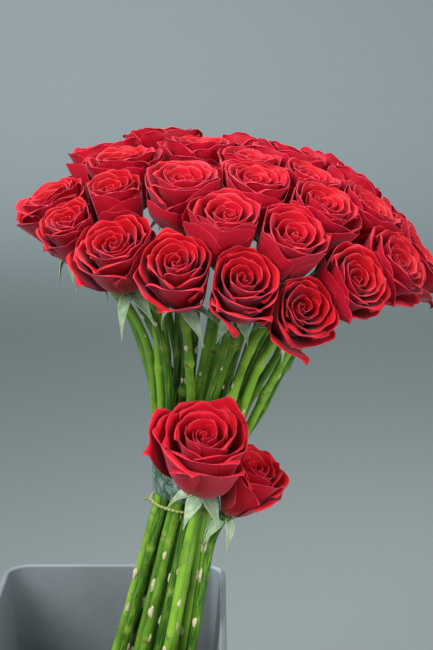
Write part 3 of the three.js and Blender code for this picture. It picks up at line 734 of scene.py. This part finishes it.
def bucket_look():
    """Clouded grey plastic, scuffed, dusty at the foot, with painted light inside on the right."""
    look = Look("bucket_plastic", Specular_IOR_Level=0.45, Coat_Weight=0.05, Coat_Roughness=0.4)
    cloud, where = look.noise(9, 4, 0.6), look.where()
    upright = look.node("Mapping", Vector=where, Scale=(40.0, 40.0, 6.0))
    scuff = look.noise(7, 5, 0.7, upright).span(0.62, 0.7)
    right, _, height = look.split(where)
    # Painted light: the inner face of the right wall is made paler by place, as if lit.
    painted_light_inside = right.span(*PAINTED_LIGHT_RIGHT) * height.span(*PAINTED_LIGHT_HEIGHT)
    painted_light_inside = painted_light_inside * (right - height * WALL_SLOPE).span(*INNER_FACE)
    dust = height.span(DUST_HEIGHT, 0.0) * look.noise(60, 4).span(0.35, 0.65)
    colour = look.paint(rgb(116, 124, 130), (cloud.span(0.3, 0.7), 132, 140, 147),
                        (scuff * 0.25, 160, 172, 184), (painted_light_inside * 0.8, 178, 192, 204),
                        (dust * 0.4, 150, 150, 142))
    return look.finish(colour, cloud.span(0.3, 0.7, 0.34, 0.46) + scuff * 0.15,
                       look.noise(1400, 2) + scuff * -0.5, 0.18, 0.0003)


def water_look():
    """Clear water, faintly green."""
    look = Look("water", Transmission_Weight=1.0, IOR=1.33)
    colour = look.paint(rgb(205, 226, 208), (look.noise(14, 3).span(0.3, 0.7), 222, 236, 222))
    return look.finish(colour, 0.02, look.noise(22, 2), 0.15, 0.002)


def film_look():
    """Clear film, paler and less clear along its creases, which is a painted highlight."""
    look = Look("clear_film", Specular_IOR_Level=0.7, IOR=1.5)
    crease = look.noise(70, 5, 0.65, distort=1.5)
    look.set(look.shader, Alpha=crease.span(0.4, 0.68, 0.34, 0.62))
    # Painted highlight: the colour is paler where the crease noise is high.
    colour = look.paint(rgb(74, 108, 100), (crease.span(0.46, 0.62), 168, 190, 184))
    return look.finish(colour, crease.span(0.3, 0.7, 0.12, 0.3),
                       crease + look.noise(260, 3) * 0.4, 0.8, 0.0012)


def band_look():
    """A dull yellow-green band of fine strands."""
    look = Look("tie_band", Specular_IOR_Level=0.35)
    strand = look.noise(500, 3)
    colour = look.paint(rgb(150, 160, 84), (strand.span(0.35, 0.65), 196, 200, 130))
    return look.finish(colour, strand.span(0.3, 0.7, 0.5, 0.7), strand, 0.5, 0.0004)


# ------------------------------------------------------------------------- petals

def spaced(n, power, edge):
    """Shares from 0 to 1, closer together near 1, with one more just inside it."""
    s = 1 - (1 - np.linspace(0, 1, n - 1)) ** power
    return np.sort(np.append(s, 1 - edge))


def across(n):
    """Places from side to side, with one more just inside each edge."""
    return np.sort(np.r_[np.linspace(-1, 1, n - 2), -0.97, 0.97])


# The height, in mm, over which a cup widens from its foot, and the angle from each
# petal to the next.
FULLNESS = 14.5
GOLDEN = 137.508 * DEG


def cup_wall(h):
    """How wide a cup is at a height, against its width near the rim."""
    return (0.17 + 0.87 * (1 - np.exp(-h / FULLNESS))) / 0.965


# From the outermost petal (0) to the heart (1): the share of the way, and there the
# half-width in degrees, the rim's height, how far its corners drop, how far its tip
# stands up, the roll of the rim in degrees and the roll's radius, how far the upper
# part leans out, how far the side edges turn out, how deep the rim's waves are, and the
# height of the petal's root.
PETALS = dict(
    share=[0, 0.1, 0.22, 0.4, 0.6, 0.8, 1],
    half=[50, 53, 55, 58, 64, 74, 88],
    high=[37, 44, 49.5, 51.5, 51, 48.5, 46],
    drop=[9, 8, 7, 5.5, 4.2, 3.2, 2.5],
    tip=[3.4, 2.6, 1.8, 1.2, 0.8, 0.5, 0.2],
    roll=[120, 115, 105, 92, 75, 50, 20],
    curl=[2.2, 2.0, 1.8, 1.5, 1.15, 0.8, 0.5],
    lean=[6.4, 6.2, 5.8, 5.0, 3.6, 1.3, 0],
    splay=[3.0, 2.4, 1.6, 1.0, 0.6, 0.2, 0],
    ruffle=[1.1, 1.0, 0.85, 0.7, 0.5, 0.3, 0.15],
    root=[1.5, 4, 8, 13, 18, 22, 26],
)
LEAN_DEPTH = 17.0

# The heart's ring, how far it is off the middle, and the least distance from a petal to
# that, in mm; how finely an outer and an inner petal are cut across and up; and the
# height, as a share of theirs, at which their rims start to roll.
HEART_RING, HEART_OFFSET, NARROWEST = 1.1, 1.8, 0.35
ACROSS, UPWARD, ROLL_FROM = (19, 13), (15, 11), (0.78, 0.84)
FEWEST_PETALS, MORE_PETALS = 26, 4


def petal(skin, rose, i, count, walls):
    """One petal: a cupped sheet that leans out and rolls back at its rim."""
    q = i / (count - 1)
    own = lambda k: draw(rose.number * 53.7 + i * 7.31 + k * 1.93)
    sway = lambda k: 2 * own(k) - 1
    part = {k: np.interp(q, PETALS["share"], v) for k, v in PETALS.items()}
    loose = max(0.0, 1 - q / 0.2) * (own(20) < 0.55) * (0.25 if rose.main else 1)
    if rose.main:
        part["high"] += 7 * max(0.0, 1 - q / 0.3)
        part["drop"] *= 0.6
        part["lean"] *= 0.7
    u = across(ACROSS[q >= 0.45])[:, None]
    v = spaced(UPWARD[q >= 0.6], 1.5, 0.018)[None, :]
    edge = np.abs(u)
    start = ROLL_FROM[q >= 0.5]
    body = np.clip(v / start, 0, 1)
    roll = np.clip((v - start) / (1 - start), 0, 1)

    half = part["half"] * DEG * (1 + 0.14 * sway(1))
    narrow = 0.42 + 0.58 * np.sin(body * pi / 2) ** 0.8
    angle = i * GOLDEN + 0.22 * sway(2) + half * u * narrow * (1 - 0.12 * roll * edge ** 2)

    phase = own(7) * 2 * pi
    wave = np.sin(u * (3.6 + 3.2 * own(8)) + phase)
    top = part["high"] + 1.9 * sway(3) * (1 - 0.4 * q) - 6 * loose * own(4)
    top = top - part["drop"] * (0.75 + 0.5 * own(5)) * edge ** (2.6 + 1.2 * own(14))
    top = top + part["tip"] * own(6) * np.exp(-((u - 0.2 * sway(15)) / 0.22) ** 2)
    nick = np.sin(u * (9 + 3 * own(18)) + phase * 2.3)
    top = top + part["ruffle"] * (wave + 0.45 * nick) + 1.7 * sway(9) * u

    bend = part["roll"] * DEG * (0.7 + 0.6 * own(10)) * (0.78 + 0.5 * edge ** 1.5 + 0.25 * wave)
    curl = part["curl"] * (0.6 + 0.7 * own(11)) * (1 + 0.7 * loose)
    turn = bend * roll
    crest = curl * np.sin(np.clip(bend, 0, pi / 2))
    rise = part["root"] + (top - crest - part["root"]) * body
    height = rise + curl * np.sin(turn)

    layer = np.clip((i + 0.55 * sway(16) - 1.1 * u) / (count - 1), None, 1)
    ring = rose.ring * np.maximum(1 - layer, 0) + HEART_RING * layer
    lean = part["lean"] * (0.75 + 0.5 * own(17))
    high_up = np.clip((rise - (top - LEAN_DEPTH)) / LEAN_DEPTH, 0, 1) ** 1.5
    radius = np.maximum(ring - lean, 0.3) * cup_wall(rise) + (lean + 3.5 * loose) * high_up
    radius = radius + curl * (1 - np.cos(turn)) - 0.5 * curl * body ** 4
    radius = radius + part["splay"] * (0.4 + own(12)) * np.clip(u, -0.35, 1) * edge ** 3 * body ** 2
    radius = radius + part["ruffle"] * (0.8 * np.sin(u * 4.7 + phase * 1.7) + 0.5 * nick) * body ** 3
    radius = radius + 0.35 * np.sin(u * 7 + v * 5 + phase) * body * (1 - 0.7 * q)
    radius = np.maximum(radius * (1 - 0.3 * ramp(q, 0.75, 1.0) * body ** 2), NARROWEST)

    wide = rose.radius / CUP_RADIUS * rose.width
    grid = rose.at(radius * wide, angle, height * rose.size)
    grid = grid + HEART_OFFSET * q * (rose.e1 * cos(rose.number) + rose.e2 * sin(rose.number))
    thick = np.interp(v, [0, 0.7, 1], [0.8, 0.5, 0.3])
    skin.shell(press(grid, walls), thick, u, v, (own(13), draw(rose.number * 1.7), 0))


def core(skin, rose):
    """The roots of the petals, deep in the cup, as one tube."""
    share = np.linspace(0, 1, 9)
    radius = np.interp(share, [0, 0.15, 0.45, 0.7, 0.9, 1], [4.6, 9, 15, 13, 7, 1.5])
    path = rose.foot + outer((0.5 + 33 * share) * rose.size, rose.axis)
    skin.tube(path, radius * rose.radius / CUP_RADIUS, 18, (0.9, 0.5, 0), rose.e1, place=(0.5, 0.1, 0))


def bloom(rose):
    """All the petals of a rose, from the outermost to the heart."""
    skin = Skin()
    walls = walls_of(rose)
    count = FEWEST_PETALS + int(draw(rose.number + 0.5) * MORE_PETALS)
    for i in range(count):
        petal(skin, rose, i, count, walls)
    core(skin, rose)
    return skin


# -------------------------------------------------------------------------- stems

def smooth_path(points, step):
    """A smooth line through points, with places about a step apart."""
    p = np.asarray(points, float)
    first, last = 2 * p[0] - p[1], 2 * p[-1] - p[-2]
    p = np.vstack([first, p, last])
    out = []
    for k in range(1, len(p) - 2):
        a, b, c, d = p[k - 1:k + 3]
        n = max(2, int(norm(c - b) / step))
        t = np.linspace(0, 1, n, endpoint=False)[:, None]
        out.append(0.5 * (2 * b + (c - a) * t + (2 * a - 5 * b + 4 * c - d) * t ** 2
                          + (3 * b - a - 3 * c + d) * t ** 3))
    return np.vstack([*out, p[-2:-1]])


# How far a cut foot stands above the solid's, so that its tilted edge clears the floor,
# and the distance between places along a stem.
FOOT_LIFT, PATH_STEP = 1.5, 4.0

# Joints along a stem, in mm: the first one's place, the least step to the next above
# FEW_BELOW and under it, what a draw may add, how long they are, and how far they bend it.
FIRST_JOINT, JOINT_STEPS, JOINT_SPARE, FEW_BELOW = 30, (34, 60), (60, 40), -40
JOINT_LENGTH, JOINT_KINK = 4.6, 1.05

# Round the tie the stems are pressed together, and near the floor their feet stay straight.
TIED, TIE_MIDDLE, FLOOR_ZONE = (-14, 56), 21, (-245, -225)

# The hip's outline, as shares of its height and radii.
HIP_SHARE = np.array([0.12, 0.28, 0.45, 0.6, 0.75, 0.9, 1.0])
HIP_OUTLINE = np.array([3.3, 4.7, 5.8, 6.4, 6.3, 5.9, 5.3])


def joint_room(z):
    """How far a joint may stand out at a height."""
    if z < FLOOR_ZONE[1]:
        return 0.0
    if TIED[0] < z < TIED[1]:
        return 0.1
    return 0.45 if z < 0 else 1.9


def stem_path(rose):
    if rose.spec:
        ground = [mix(rose.low, rose.rows[1], t) for t in np.linspace(0.005, 0.9, 8)]
        return smooth_path([*ground, rose.rows[1], hip_foot(rose)], PATH_STEP)
    ground = [in_bundle(rose.site, z) for z in np.linspace(rose.low[2] + FOOT_LIFT, 0, 9)]
    return smooth_path([*ground, *rose.route], PATH_STEP)


def joints_of(own, length, z):
    """How far along a stem its joints are."""
    joints, s = [], FIRST_JOINT + JOINT_SPARE[0] * own(1)
    while s < length[-1] - 24:
        joints.append(s)
        s += JOINT_STEPS[np.interp(s, length, z) < FEW_BELOW] + JOINT_SPARE[1] * own(len(joints) + 3)
    return joints


def stem(skin, chips, rose):
    """A stem with its joints and kinks, closed by the hip, and its scars."""
    path = stem_path(rose)
    length = lengths_along(path)
    total, z = length[-1], path[:, 2]
    own = lambda k: draw(rose.number * 17.3 + k * 2.7)
    stops, places = [0.0], [np.zeros(3)]
    swell, sides, near_joint = np.zeros((3, len(path)))
    for n, s in enumerate(joints_of(own, length, z)):
        bump = np.exp(-np.abs((length - s) / JOINT_LENGTH) ** 1.6)
        room = joint_room(np.interp(s, length, z))
        swell += bump * room * (0.7 + 0.6 * own(n + 20))
        side = own(n + 40) * 2 * pi
        sides = np.where(bump > 0.2, side, sides)
        near_joint = np.maximum(near_joint, bump)
        stops.append(s)
        places.append(np.array([cos(side), sin(side), 0]) * JOINT_KINK * room)
    stops.append(total - 14)
    places.append(np.zeros(3))
    calm = ramp(np.abs(z - TIE_MIDDLE), 36, 62) * ramp(z, *FLOOR_ZONE)
    kinks = np.stack([np.interp(length, stops, [p[k] for p in places]) for k in range(3)], -1)
    path = path + kinks * calm[:, None]
    thick = mix(3.75, 3.6, ramp(z, 20, 60))
    thick = thick * (1 + 0.1 * np.interp(length, stops, [own(n + 80) - 0.5 for n in range(len(stops))]))
    thick = mix(thick, STEM_NECK * sqrt(rose.size), ramp(length, total - 45, total - 8))

    def bulge(k, angle):
        return swell[k] * (0.25 + 1.1 * np.maximum(0, np.cos(angle - sides[k])) ** 2)

    hip = hip_foot(rose) + outer(HIP_SHARE * HIP_HEIGHT * rose.size, rose.axis)
    plain = np.zeros(len(hip))
    swell, sides, near_joint = np.r_[swell, plain], np.r_[sides, plain], np.r_[near_joint, plain]
    # The third tone is painted shade, growing higher up the stem and full on the hip.
    tones = np.stack([np.full(len(near_joint), own(60)), near_joint,
                      np.r_[ramp(z, 60, 190), plain + 1]], -1)
    radius = np.r_[thick, HIP_OUTLINE * sqrt(rose.size)]
    skin.tube(np.vstack([path, hip]), radius, 12, tones, bulge=bulge)

    for n in range(7):
        k = int(np.searchsorted(length, total * (0.3 + 0.66 * draw(rose.number * 9.1 + n))))
        if 2 < k < len(path) - 6 and not -8 < path[k, 2] < 52:
            way = draw(rose.number * 4.7 + n * 1.3) * 2 * pi
            large = 2.4 + 1.8 * draw(rose.number + n * 0.7)
            chip(chips, path, k, thick[k], way, large * (1 if path[k, 2] < 0 else 0.6))


def chip(skin, path, k, radius, way, size):
    """A low oval scar on a stem."""
    along = unit(path[k + 1] - path[k - 1])
    e1 = unit(np.cross(along, [0.2, 1, 0]))
    out = cos(way) * e1 + sin(way) * np.cross(along, e1)
    side = np.cross(along, out)
    rows, columns = 5, 10
    points = []
    for r in range(rows):
        a = pi / 2 * r / (rows - 1)
        for c in range(columns):
            b = 2 * pi * c / columns
            rag = 1 + 0.16 * sin(3 * b + way * 5) + 0.08 * sin(5 * b + way)
            points.append(path[k] + out * (radius - 0.7 + 1.35 * sin(a) * size * 0.45)
                          + along * cos(a) * cos(b) * size * 1.7 * rag
                          + side * cos(a) * sin(b) * size * 0.8 * rag)
    points = np.array(points[:(rows - 1) * columns + 1])
    faces = []
    for r in range(rows - 2):
        for c in range(columns):
            d = (c + 1) % columns
            low, high = r * columns, (r + 1) * columns
            faces.append((low + c, high + c, high + d, low + d))
    top = (rows - 1) * columns
    for c in range(columns):
        faces.append(((rows - 2) * columns + c, top, (rows - 2) * columns + (c + 1) % columns))
    faces.append(tuple(range(columns)))
    skin.add(points, faces)


# ------------------------------------------------------------------------- sepals

# A sepal that points this much to one side has lobes, and on the skirt it is longer, by
# this factor, and its tip hangs lower, in mm.
SIDEWAYS, LEAFY_LENGTH, LEAFY_FALL = 0.8, 1.35, 4


def sepal(skin, rose, line, n):
    """One sepal: a keeled, tapering blade, some with fine side lobes."""
    own = lambda k: draw(rose.number * 6.1 + n * 3.7 + k)
    a, b, c = line
    leafy = abs(unit(c - a)[0]) > SIDEWAYS and rose.number in SKIRT
    if leafy:
        c = a + (c - a) * LEAFY_LENGTH - UP * LEAFY_FALL
    v = np.linspace(0, 1, 15)
    path = outer((1 - v) ** 2, a) + outer(2 * v * (1 - v), 2 * b - (a + c) / 2) + outer(v ** 2, c)
    path = path + outer(v ** 3 * (1 + 3 * own(1)), -UP)
    along = unit(c - a)
    side = unit(np.cross(rose.axis, along))
    face = np.cross(along, side)
    width = SEPAL["width"] * 0.65 * sqrt(rose.size) * (0.85 + 0.4 * own(2))
    shape = np.interp(v, [0, 0.12, 0.3, 0.5, 0.7, 0.85, 1], [0.62, 0.9, 1.0, 0.72, 0.36, 0.15, 0.02])
    u = np.array([-1, -0.9, -0.55, -0.2, 0, 0.2, 0.55, 0.9, 1])
    ripple = 0.35 * np.sin(outer(u, v * 0 + 1) * 2.2 + v * 9 + own(3) * 6) * v
    fold = 0.42 * (0.6 + own(4))
    grid = (path[None] + outer(u, shape * width)[..., None] * side
            + (outer(np.abs(u) ** 1.3, shape * width * fold) + ripple * 0.6)[..., None] * face)
    skin.shell(grid, 0.42, u[:, None], v[None, :], (own(5) * 0.6, 0, 0))
    if own(6) < 0.3 or leafy or abs(along[0]) > SIDEWAYS:
        for m in range(3 + int(own(7) * 3)):
            k = int((0.3 + 0.11 * m) * 14)
            out = side if (m + n) % 2 else -side
            lobe(skin, path[k], along, out, face, (10 - m) * sqrt(rose.size) * 0.8, own(m + 10))


def lobe(skin, root, along, side, face, length, tone):
    """A fine side lobe of a sepal."""
    v = np.linspace(0, 1, 9)
    path = (root + outer(v * length * 0.7, along) + outer(np.sin(v * 1.5) * length * 0.5, side)
            + outer(v ** 2 * length * 0.25 * (tone - 0.5), face))
    width = np.interp(v, [0, 0.35, 1], [0.5, 0.75, 0.06])
    u = np.array([-1, 0, 1.0])
    across_way = unit(np.cross(face, along + side * 0.6))
    grid = (path[None] + outer(u, width)[..., None] * across_way
            + outer(np.abs(u), width * 0.3)[..., None] * face)
    skin.shell(grid, 0.35, u[:, None], np.full((1, 9), 0.8), (0.5 + tone * 0.4, 0, 0))


# ------------------------------------------------------- bucket, water, film, band

VASE = dict(height=245, foot_half=80, rim_half=102.5, wall=2.2, floor=3, foot_corner=16,
            rim_corner=22, lip_out=3.5, lip_height=9)
CORNER_STEPS, SIDE_STEPS = 9, 6


def square_ring(half, corner, z):
    """A rounded square at a height, as points in order round it."""
    inset = half - corner
    corners = [(1, 1), (-1, 1), (-1, -1), (1, -1)]
    points = []
    for quarter, (sx, sy) in enumerate(corners):
        for k in range(CORNER_STEPS):
            a = (quarter + k / (CORNER_STEPS - 1)) * pi / 2
            points.append((sx * inset + corner * cos(a), sy * inset + corner * sin(a), z))
        nx, ny = corners[(quarter + 1) % 4]
        start, end = np.array(points[-1]), (quarter + 1) * pi / 2
        turn = np.array((nx * inset + corner * cos(end), ny * inset + corner * sin(end), z))
        points += [mix(start, turn, k / SIDE_STEPS) for k in range(1, SIDE_STEPS)]
    return np.array(points)


def bucket():
    """The square bucket: one closed shell, outside and in."""
    height, wall, floor_z, lip = VASE["height"], VASE["wall"], VASE["floor"], VASE["lip_out"]
    under = height - VASE["lip_height"]
    # The outline as heights and how far out: the foot with its line, the wall, the line
    # under the lip, the lip, and the inside down to the floor.
    profile = [(0, -5), (0, -1.6), (0.4, -0.8), (1.2, -0.2), (3, 0)]
    profile += [(5, 0), (5.6, -0.5), (7.4, -0.5), (8, 0)]
    profile += [(z, 0) for z in np.linspace(20, under - 24, 9)]
    profile += [(under - 15, 0), (under - 14.4, 0.5), (under - 12.6, 0.5), (under - 12, 0)]
    profile += [(under - 1.2, 0), (under - 0.3, 0.3), (under, 1.0), (under + 0.1, lip - 0.5),
                (under + 0.6, lip - 0.05), (under + 1.4, lip), (height - 2.6, lip),
                (height - 1.2, lip - 0.35), (height - 0.4, lip - 1.0), (height, lip - 2.0),
                (height, 0.2), (height - 0.2, -1.2), (height - 0.9, -wall + 0.1), (height - 2, -wall)]
    profile += [(z, -wall) for z in np.linspace(height - 14, 10, 10)]
    profile += [(6, -wall), (4, -wall - 0.05), (floor_z, -wall - 0.25)]
    rings = []
    for z, out in profile:
        half = mix(VASE["foot_half"], VASE["rim_half"], z / height)
        corner = mix(VASE["foot_corner"], VASE["rim_corner"], z / height)
        rings.append(square_ring(half + out, max(3, corner + out), z))
    skin = Skin()
    skin.add(np.vstack([*rings, [[0, 0, 0], [0, 0, floor_z]]]), stack_faces(len(rings), len(rings[0])))
    return skin


# How far the film and the band stay from the middles of the stems, in mm.
STEM_SKIN = 4.3

# The film: where its lower and upper edges are, and the heights that it is fitted at.
FILM_FROM, FILM_TO, FILM_FITS = 4.8, 47, (5, 26, 47)

# The band: its height, and the bearing of its knot, in degrees.
BAND_Z, KNOT_AT = -2, 187


def stem_at(rose, z):
    rows = np.array(rose.rows)
    k = int(np.argmax(rows[:, 2] > z))
    a, b = rows[k - 1], rows[k]
    return mix(a, b, (z - a[2]) / (b[2] - a[2]))


def reach_of(angle, z):
    """How far the stems reach in a direction at a height."""
    out = np.array([cos(angle), sin(angle), 0])
    return max(stem_at(rose, z) @ out for rose in long_roses) + STEM_SKIN


def wrap_film():
    """Clear film drawn round the stems above the tie, creased and puckered."""
    turns, rows = 120, 22
    angles = np.linspace(0, 2 * pi, turns, endpoint=False)
    fits = [[reach_of(a, z) for z in FILM_FITS] for a in angles]
    outside, inside = [], []
    for j in range(rows):
        t = j / (rows - 1)
        z = mix(FILM_FROM, FILM_TO, t)
        base = np.array([np.interp(z, FILM_FITS, fit) for fit in fits])
        base = np.maximum(base, smoothed(base, 4))
        crease = (0.45 * np.sin(angles * 23 + z * 0.35) + 0.35 * np.sin(angles * 41 - z * 0.22 + 1.3)
                  + 0.3 * np.sin(angles * 9 + z * 0.6))
        frill = 1.1 * ramp(t, 0.8, 1) * np.sin(angles * 17 + 0.8)
        r = base + 1.15 + crease * (0.3 + 0.5 * t) + frill
        edge = z + 1.6 * ramp(t, 0.9, 1) * np.sin(angles * 7 + 0.4)
        for side, shift in ((outside, 0.12), (inside, -0.12)):
            side.append(np.c_[(r + shift) * np.cos(angles), (r + shift) * np.sin(angles), edge])
    faces = []
    half, last = rows * turns, (rows - 1) * turns
    for low in range(0, last, turns):
        for k in range(turns):
            a, b = low + k, low + (k + 1) % turns
            c, d = b + turns, a + turns
            faces += [(a, b, c, d), (half + a, half + d, half + c, half + b)]
    for k in range(turns):
        m = (k + 1) % turns
        faces += [(k, half + k, half + m, m), (last + k, last + m, half + last + m, half + last + k)]
    skin = Skin()
    skin.add(np.vstack([*outside, *inside]), faces)
    return skin


def tie():
    """A thin twisted band drawn tight round the stems, knotted at the left."""
    skin = Skin()
    turns = 160
    angles = np.linspace(0, 2 * pi, turns + 1)
    reach = smoothed(np.array([reach_of(a, BAND_Z) for a in angles[:-1]]), 3) + 1.0
    reach = np.append(reach, reach[0])
    for strand in (0, 1):
        twist = angles * 24 + strand * pi
        r = reach + 0.55 + 0.5 * np.cos(twist)
        z = BAND_Z + 3.4 * np.cos(angles) + 0.7 * np.sin(angles * 2 + 0.5) + 0.75 * np.sin(twist)
        skin.tube(np.c_[r * np.cos(angles), r * np.sin(angles), z], np.full(turns + 1, 0.75), 7)
    side = KNOT_AT * DEG
    out = np.array([cos(side), sin(side), 0])
    cross = np.array([-sin(side), cos(side), 0])
    start = out * (reach_of(side, BAND_Z) + 2.2) + np.array([0, 0, -5.4])
    t = np.linspace(0, 1, 14)
    knot = (start + outer(np.sin(t * 2 * pi) * 1.7, cross) + outer(np.cos(t * 2 * pi) * 1.5, UP)
            + outer(0.6 * np.sin(t * 9), out))
    skin.tube(knot, np.full(14, 0.85), 7, start_way=cross)
    for sign, length in ((1, 9.0), (-1, 6.0)):
        tail = (start + outer(t * length, out) + outer(t ** 2 * 2.2 * sign, UP)
                + outer(np.sin(t * 2.5) * 1.4 * sign, cross))
        skin.tube(tail, np.linspace(0.8, 0.45, 14), 7, start_way=cross)
    return skin


# ------------------------------------------------------------------- put together

petals = petal_look("petal")
# The short roses have a lighter copy of the petal colours: painted light on them.
painted_light_short_petals = petal_look("short_petal", lift=22)
stem_green = stem_look("stem", rgb(132, 184, 56), rgb(44, 92, 28))
# The inner stems have a darker copy of the stem greens: painted shade deep in the bunch.
painted_shade_inner_green = stem_look("stem_inner_painted_shade", rgb(92, 146, 46), rgb(30, 66, 20))
sepal_green = sepal_look()
cork = chip_look()


def bloom_piece(name, rose, material, slot):
    piece(f"{name}_petals", bloom(rose).mesh(name), material, slot, name)


def green_pieces(name, members, material, slot="stems"):
    """The stems of some roses as one piece, their scars as another, and their sepals."""
    stalks, scars, leaves = Skin(), Skin(), Skin()
    for rose in members:
        stem(stalks, scars, rose)
        for n, line in enumerate(rose.sepals):
            sepal(leaves, rose, line, n)
    piece(f"{name}_rind", stalks.mesh(name), material, slot, name)
    if scars.count:
        piece(f"{name}_scars", scars.mesh(name + "_scars"), cork, slot)
    if leaves.count:
        piece(f"{name}_sepals", leaves.mesh(name + "_sepals"), sepal_green, slot)


for rose in long_roses:
    bloom_piece(f"bloom_{rose.number:02d}", rose, petals, "petals")
for n, rose in enumerate(short_roses):
    bloom_piece(f"short_bloom_{n + 1}", rose, painted_light_short_petals, "petals_short")
for rose in outer_roses:
    green_pieces(f"stem_{rose.number:02d}", [rose], stem_green)
for n, rose in enumerate(short_roses):
    green_pieces(f"short_stem_{n + 1}", [rose], stem_green)
green_pieces("inner_stems", inner_roses, painted_shade_inner_green, "stems_inner")

# The bucket's shape is given in the vase's own frame.
piece("bucket", bucket().mesh("bucket", lambda points: points), bucket_look(), "bucket_plastic", "vase")
piece("film", wrap_film().mesh("film"), film_look(), "clear_film", "film_wrap")
piece("band", tie().mesh("band"), band_look(), "tie_band", "tie_band")
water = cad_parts["water"]
water.data.materials.clear()
water.data.materials.append(water_look())


# ------------------------------------------------------------ floor, light, camera

def stage():
    """A pale floor that curves up into a backdrop behind the object, in metres."""
    front, bend_at, bend, top, half = -6, 2.6, 1.2, 6.0, 7
    a = np.linspace(0.1, 1, 12) * pi / 2
    ys = np.r_[np.linspace(front, bend_at, 12), bend_at + bend * np.sin(a), bend_at + bend]
    zs = np.r_[np.zeros(12), bend * (1 - np.cos(a)), top]
    points = [(x, y, z) for y, z in zip(ys, zs) for x in (-half, half)]
    faces = [(2 * k, 2 * k + 1, 2 * k + 3, 2 * k + 2) for k in range(len(ys) - 1)]
    mesh = bpy.data.meshes.new("floor")
    mesh.from_pydata(points, [], faces)
    mesh.shade_smooth()
    obj = bpy.data.objects.new("floor", mesh)
    bpy.context.scene.collection.objects.link(obj)
    look = Look("floor", Roughness=0.9, Specular_IOR_Level=0.1)
    x, y, _ = look.split(look.where())
    # Painted shade and light on the floor: darker a little way back and on the left, lighter far back
    # where it rises into the backdrop.
    colour = look.paint(rgb(136, 144, 144), (y.span(0.2, 1.6), 118, 127, 127),
                        (x.span(0.5, -0.5, 0.0, 0.6), 104, 113, 114), (y.span(1.8, 3.6), 156, 167, 169))
    look.set(look.shader, Base_Color=colour)
    mesh.materials.append(look.material)


def light(name, place, target, size, watts, colour):
    data = bpy.data.lights.new(name, "AREA")
    data.shape = "RECTANGLE"
    data.size, data.size_y = size
    data.energy = watts
    data.color = colour
    obj = bpy.data.objects.new(name, data)
    obj.location = place
    obj.rotation_euler = (Vector(target) - Vector(place)).to_track_quat("-Z", "Y").to_euler()
    bpy.context.scene.collection.objects.link(obj)


# The camera, as the photograph was taken, in metres and the lens in millimetres.
TARGET = Vector((0.097, 0.0, 0.508))
ELEVATION, DISTANCE, LENS = 14 * DEG, 1.25, 81.4

stage()
light("key", (-1.2, -1.3, 1.9), (0.08, 0, 0.5), (1.5, 1.5), 59, (1.0, 0.985, 0.96))
light("fill", (1.6, -1.5, 0.9), (0.08, 0, 0.45), (1.6, 1.6), 29, (0.96, 0.98, 1.0))
light("top", (0.1, 0.5, 2.2), (0.08, 0, 0.55), (1.6, 1.2), 34, (0.97, 0.985, 1.0))
light("back", (-0.6, 2.6, 2.6), (0.0, 3.6, 1.2), (2.5, 1.5), 30, (0.95, 0.98, 1.0))

world = bpy.data.worlds.new("studio")
world.use_nodes = True
background = world.node_tree.nodes["Background"]
background.inputs["Color"].default_value = (0.80, 0.86, 0.90, 1)
background.inputs["Strength"].default_value = 0.36
bpy.context.scene.world = world
bpy.context.scene.view_settings.view_transform = "Standard"

camera_data = bpy.data.cameras.new("camera")
camera_data.lens = LENS
camera_data.sensor_width = 36
camera = bpy.data.objects.new("camera", camera_data)
camera.location = TARGET + DISTANCE * Vector((0, -cos(ELEVATION), sin(ELEVATION)))
camera.rotation_euler = (TARGET - camera.location).to_track_quat("-Z", "Y").to_euler()
bpy.context.scene.collection.objects.link(camera)
bpy.context.scene.camera = camera
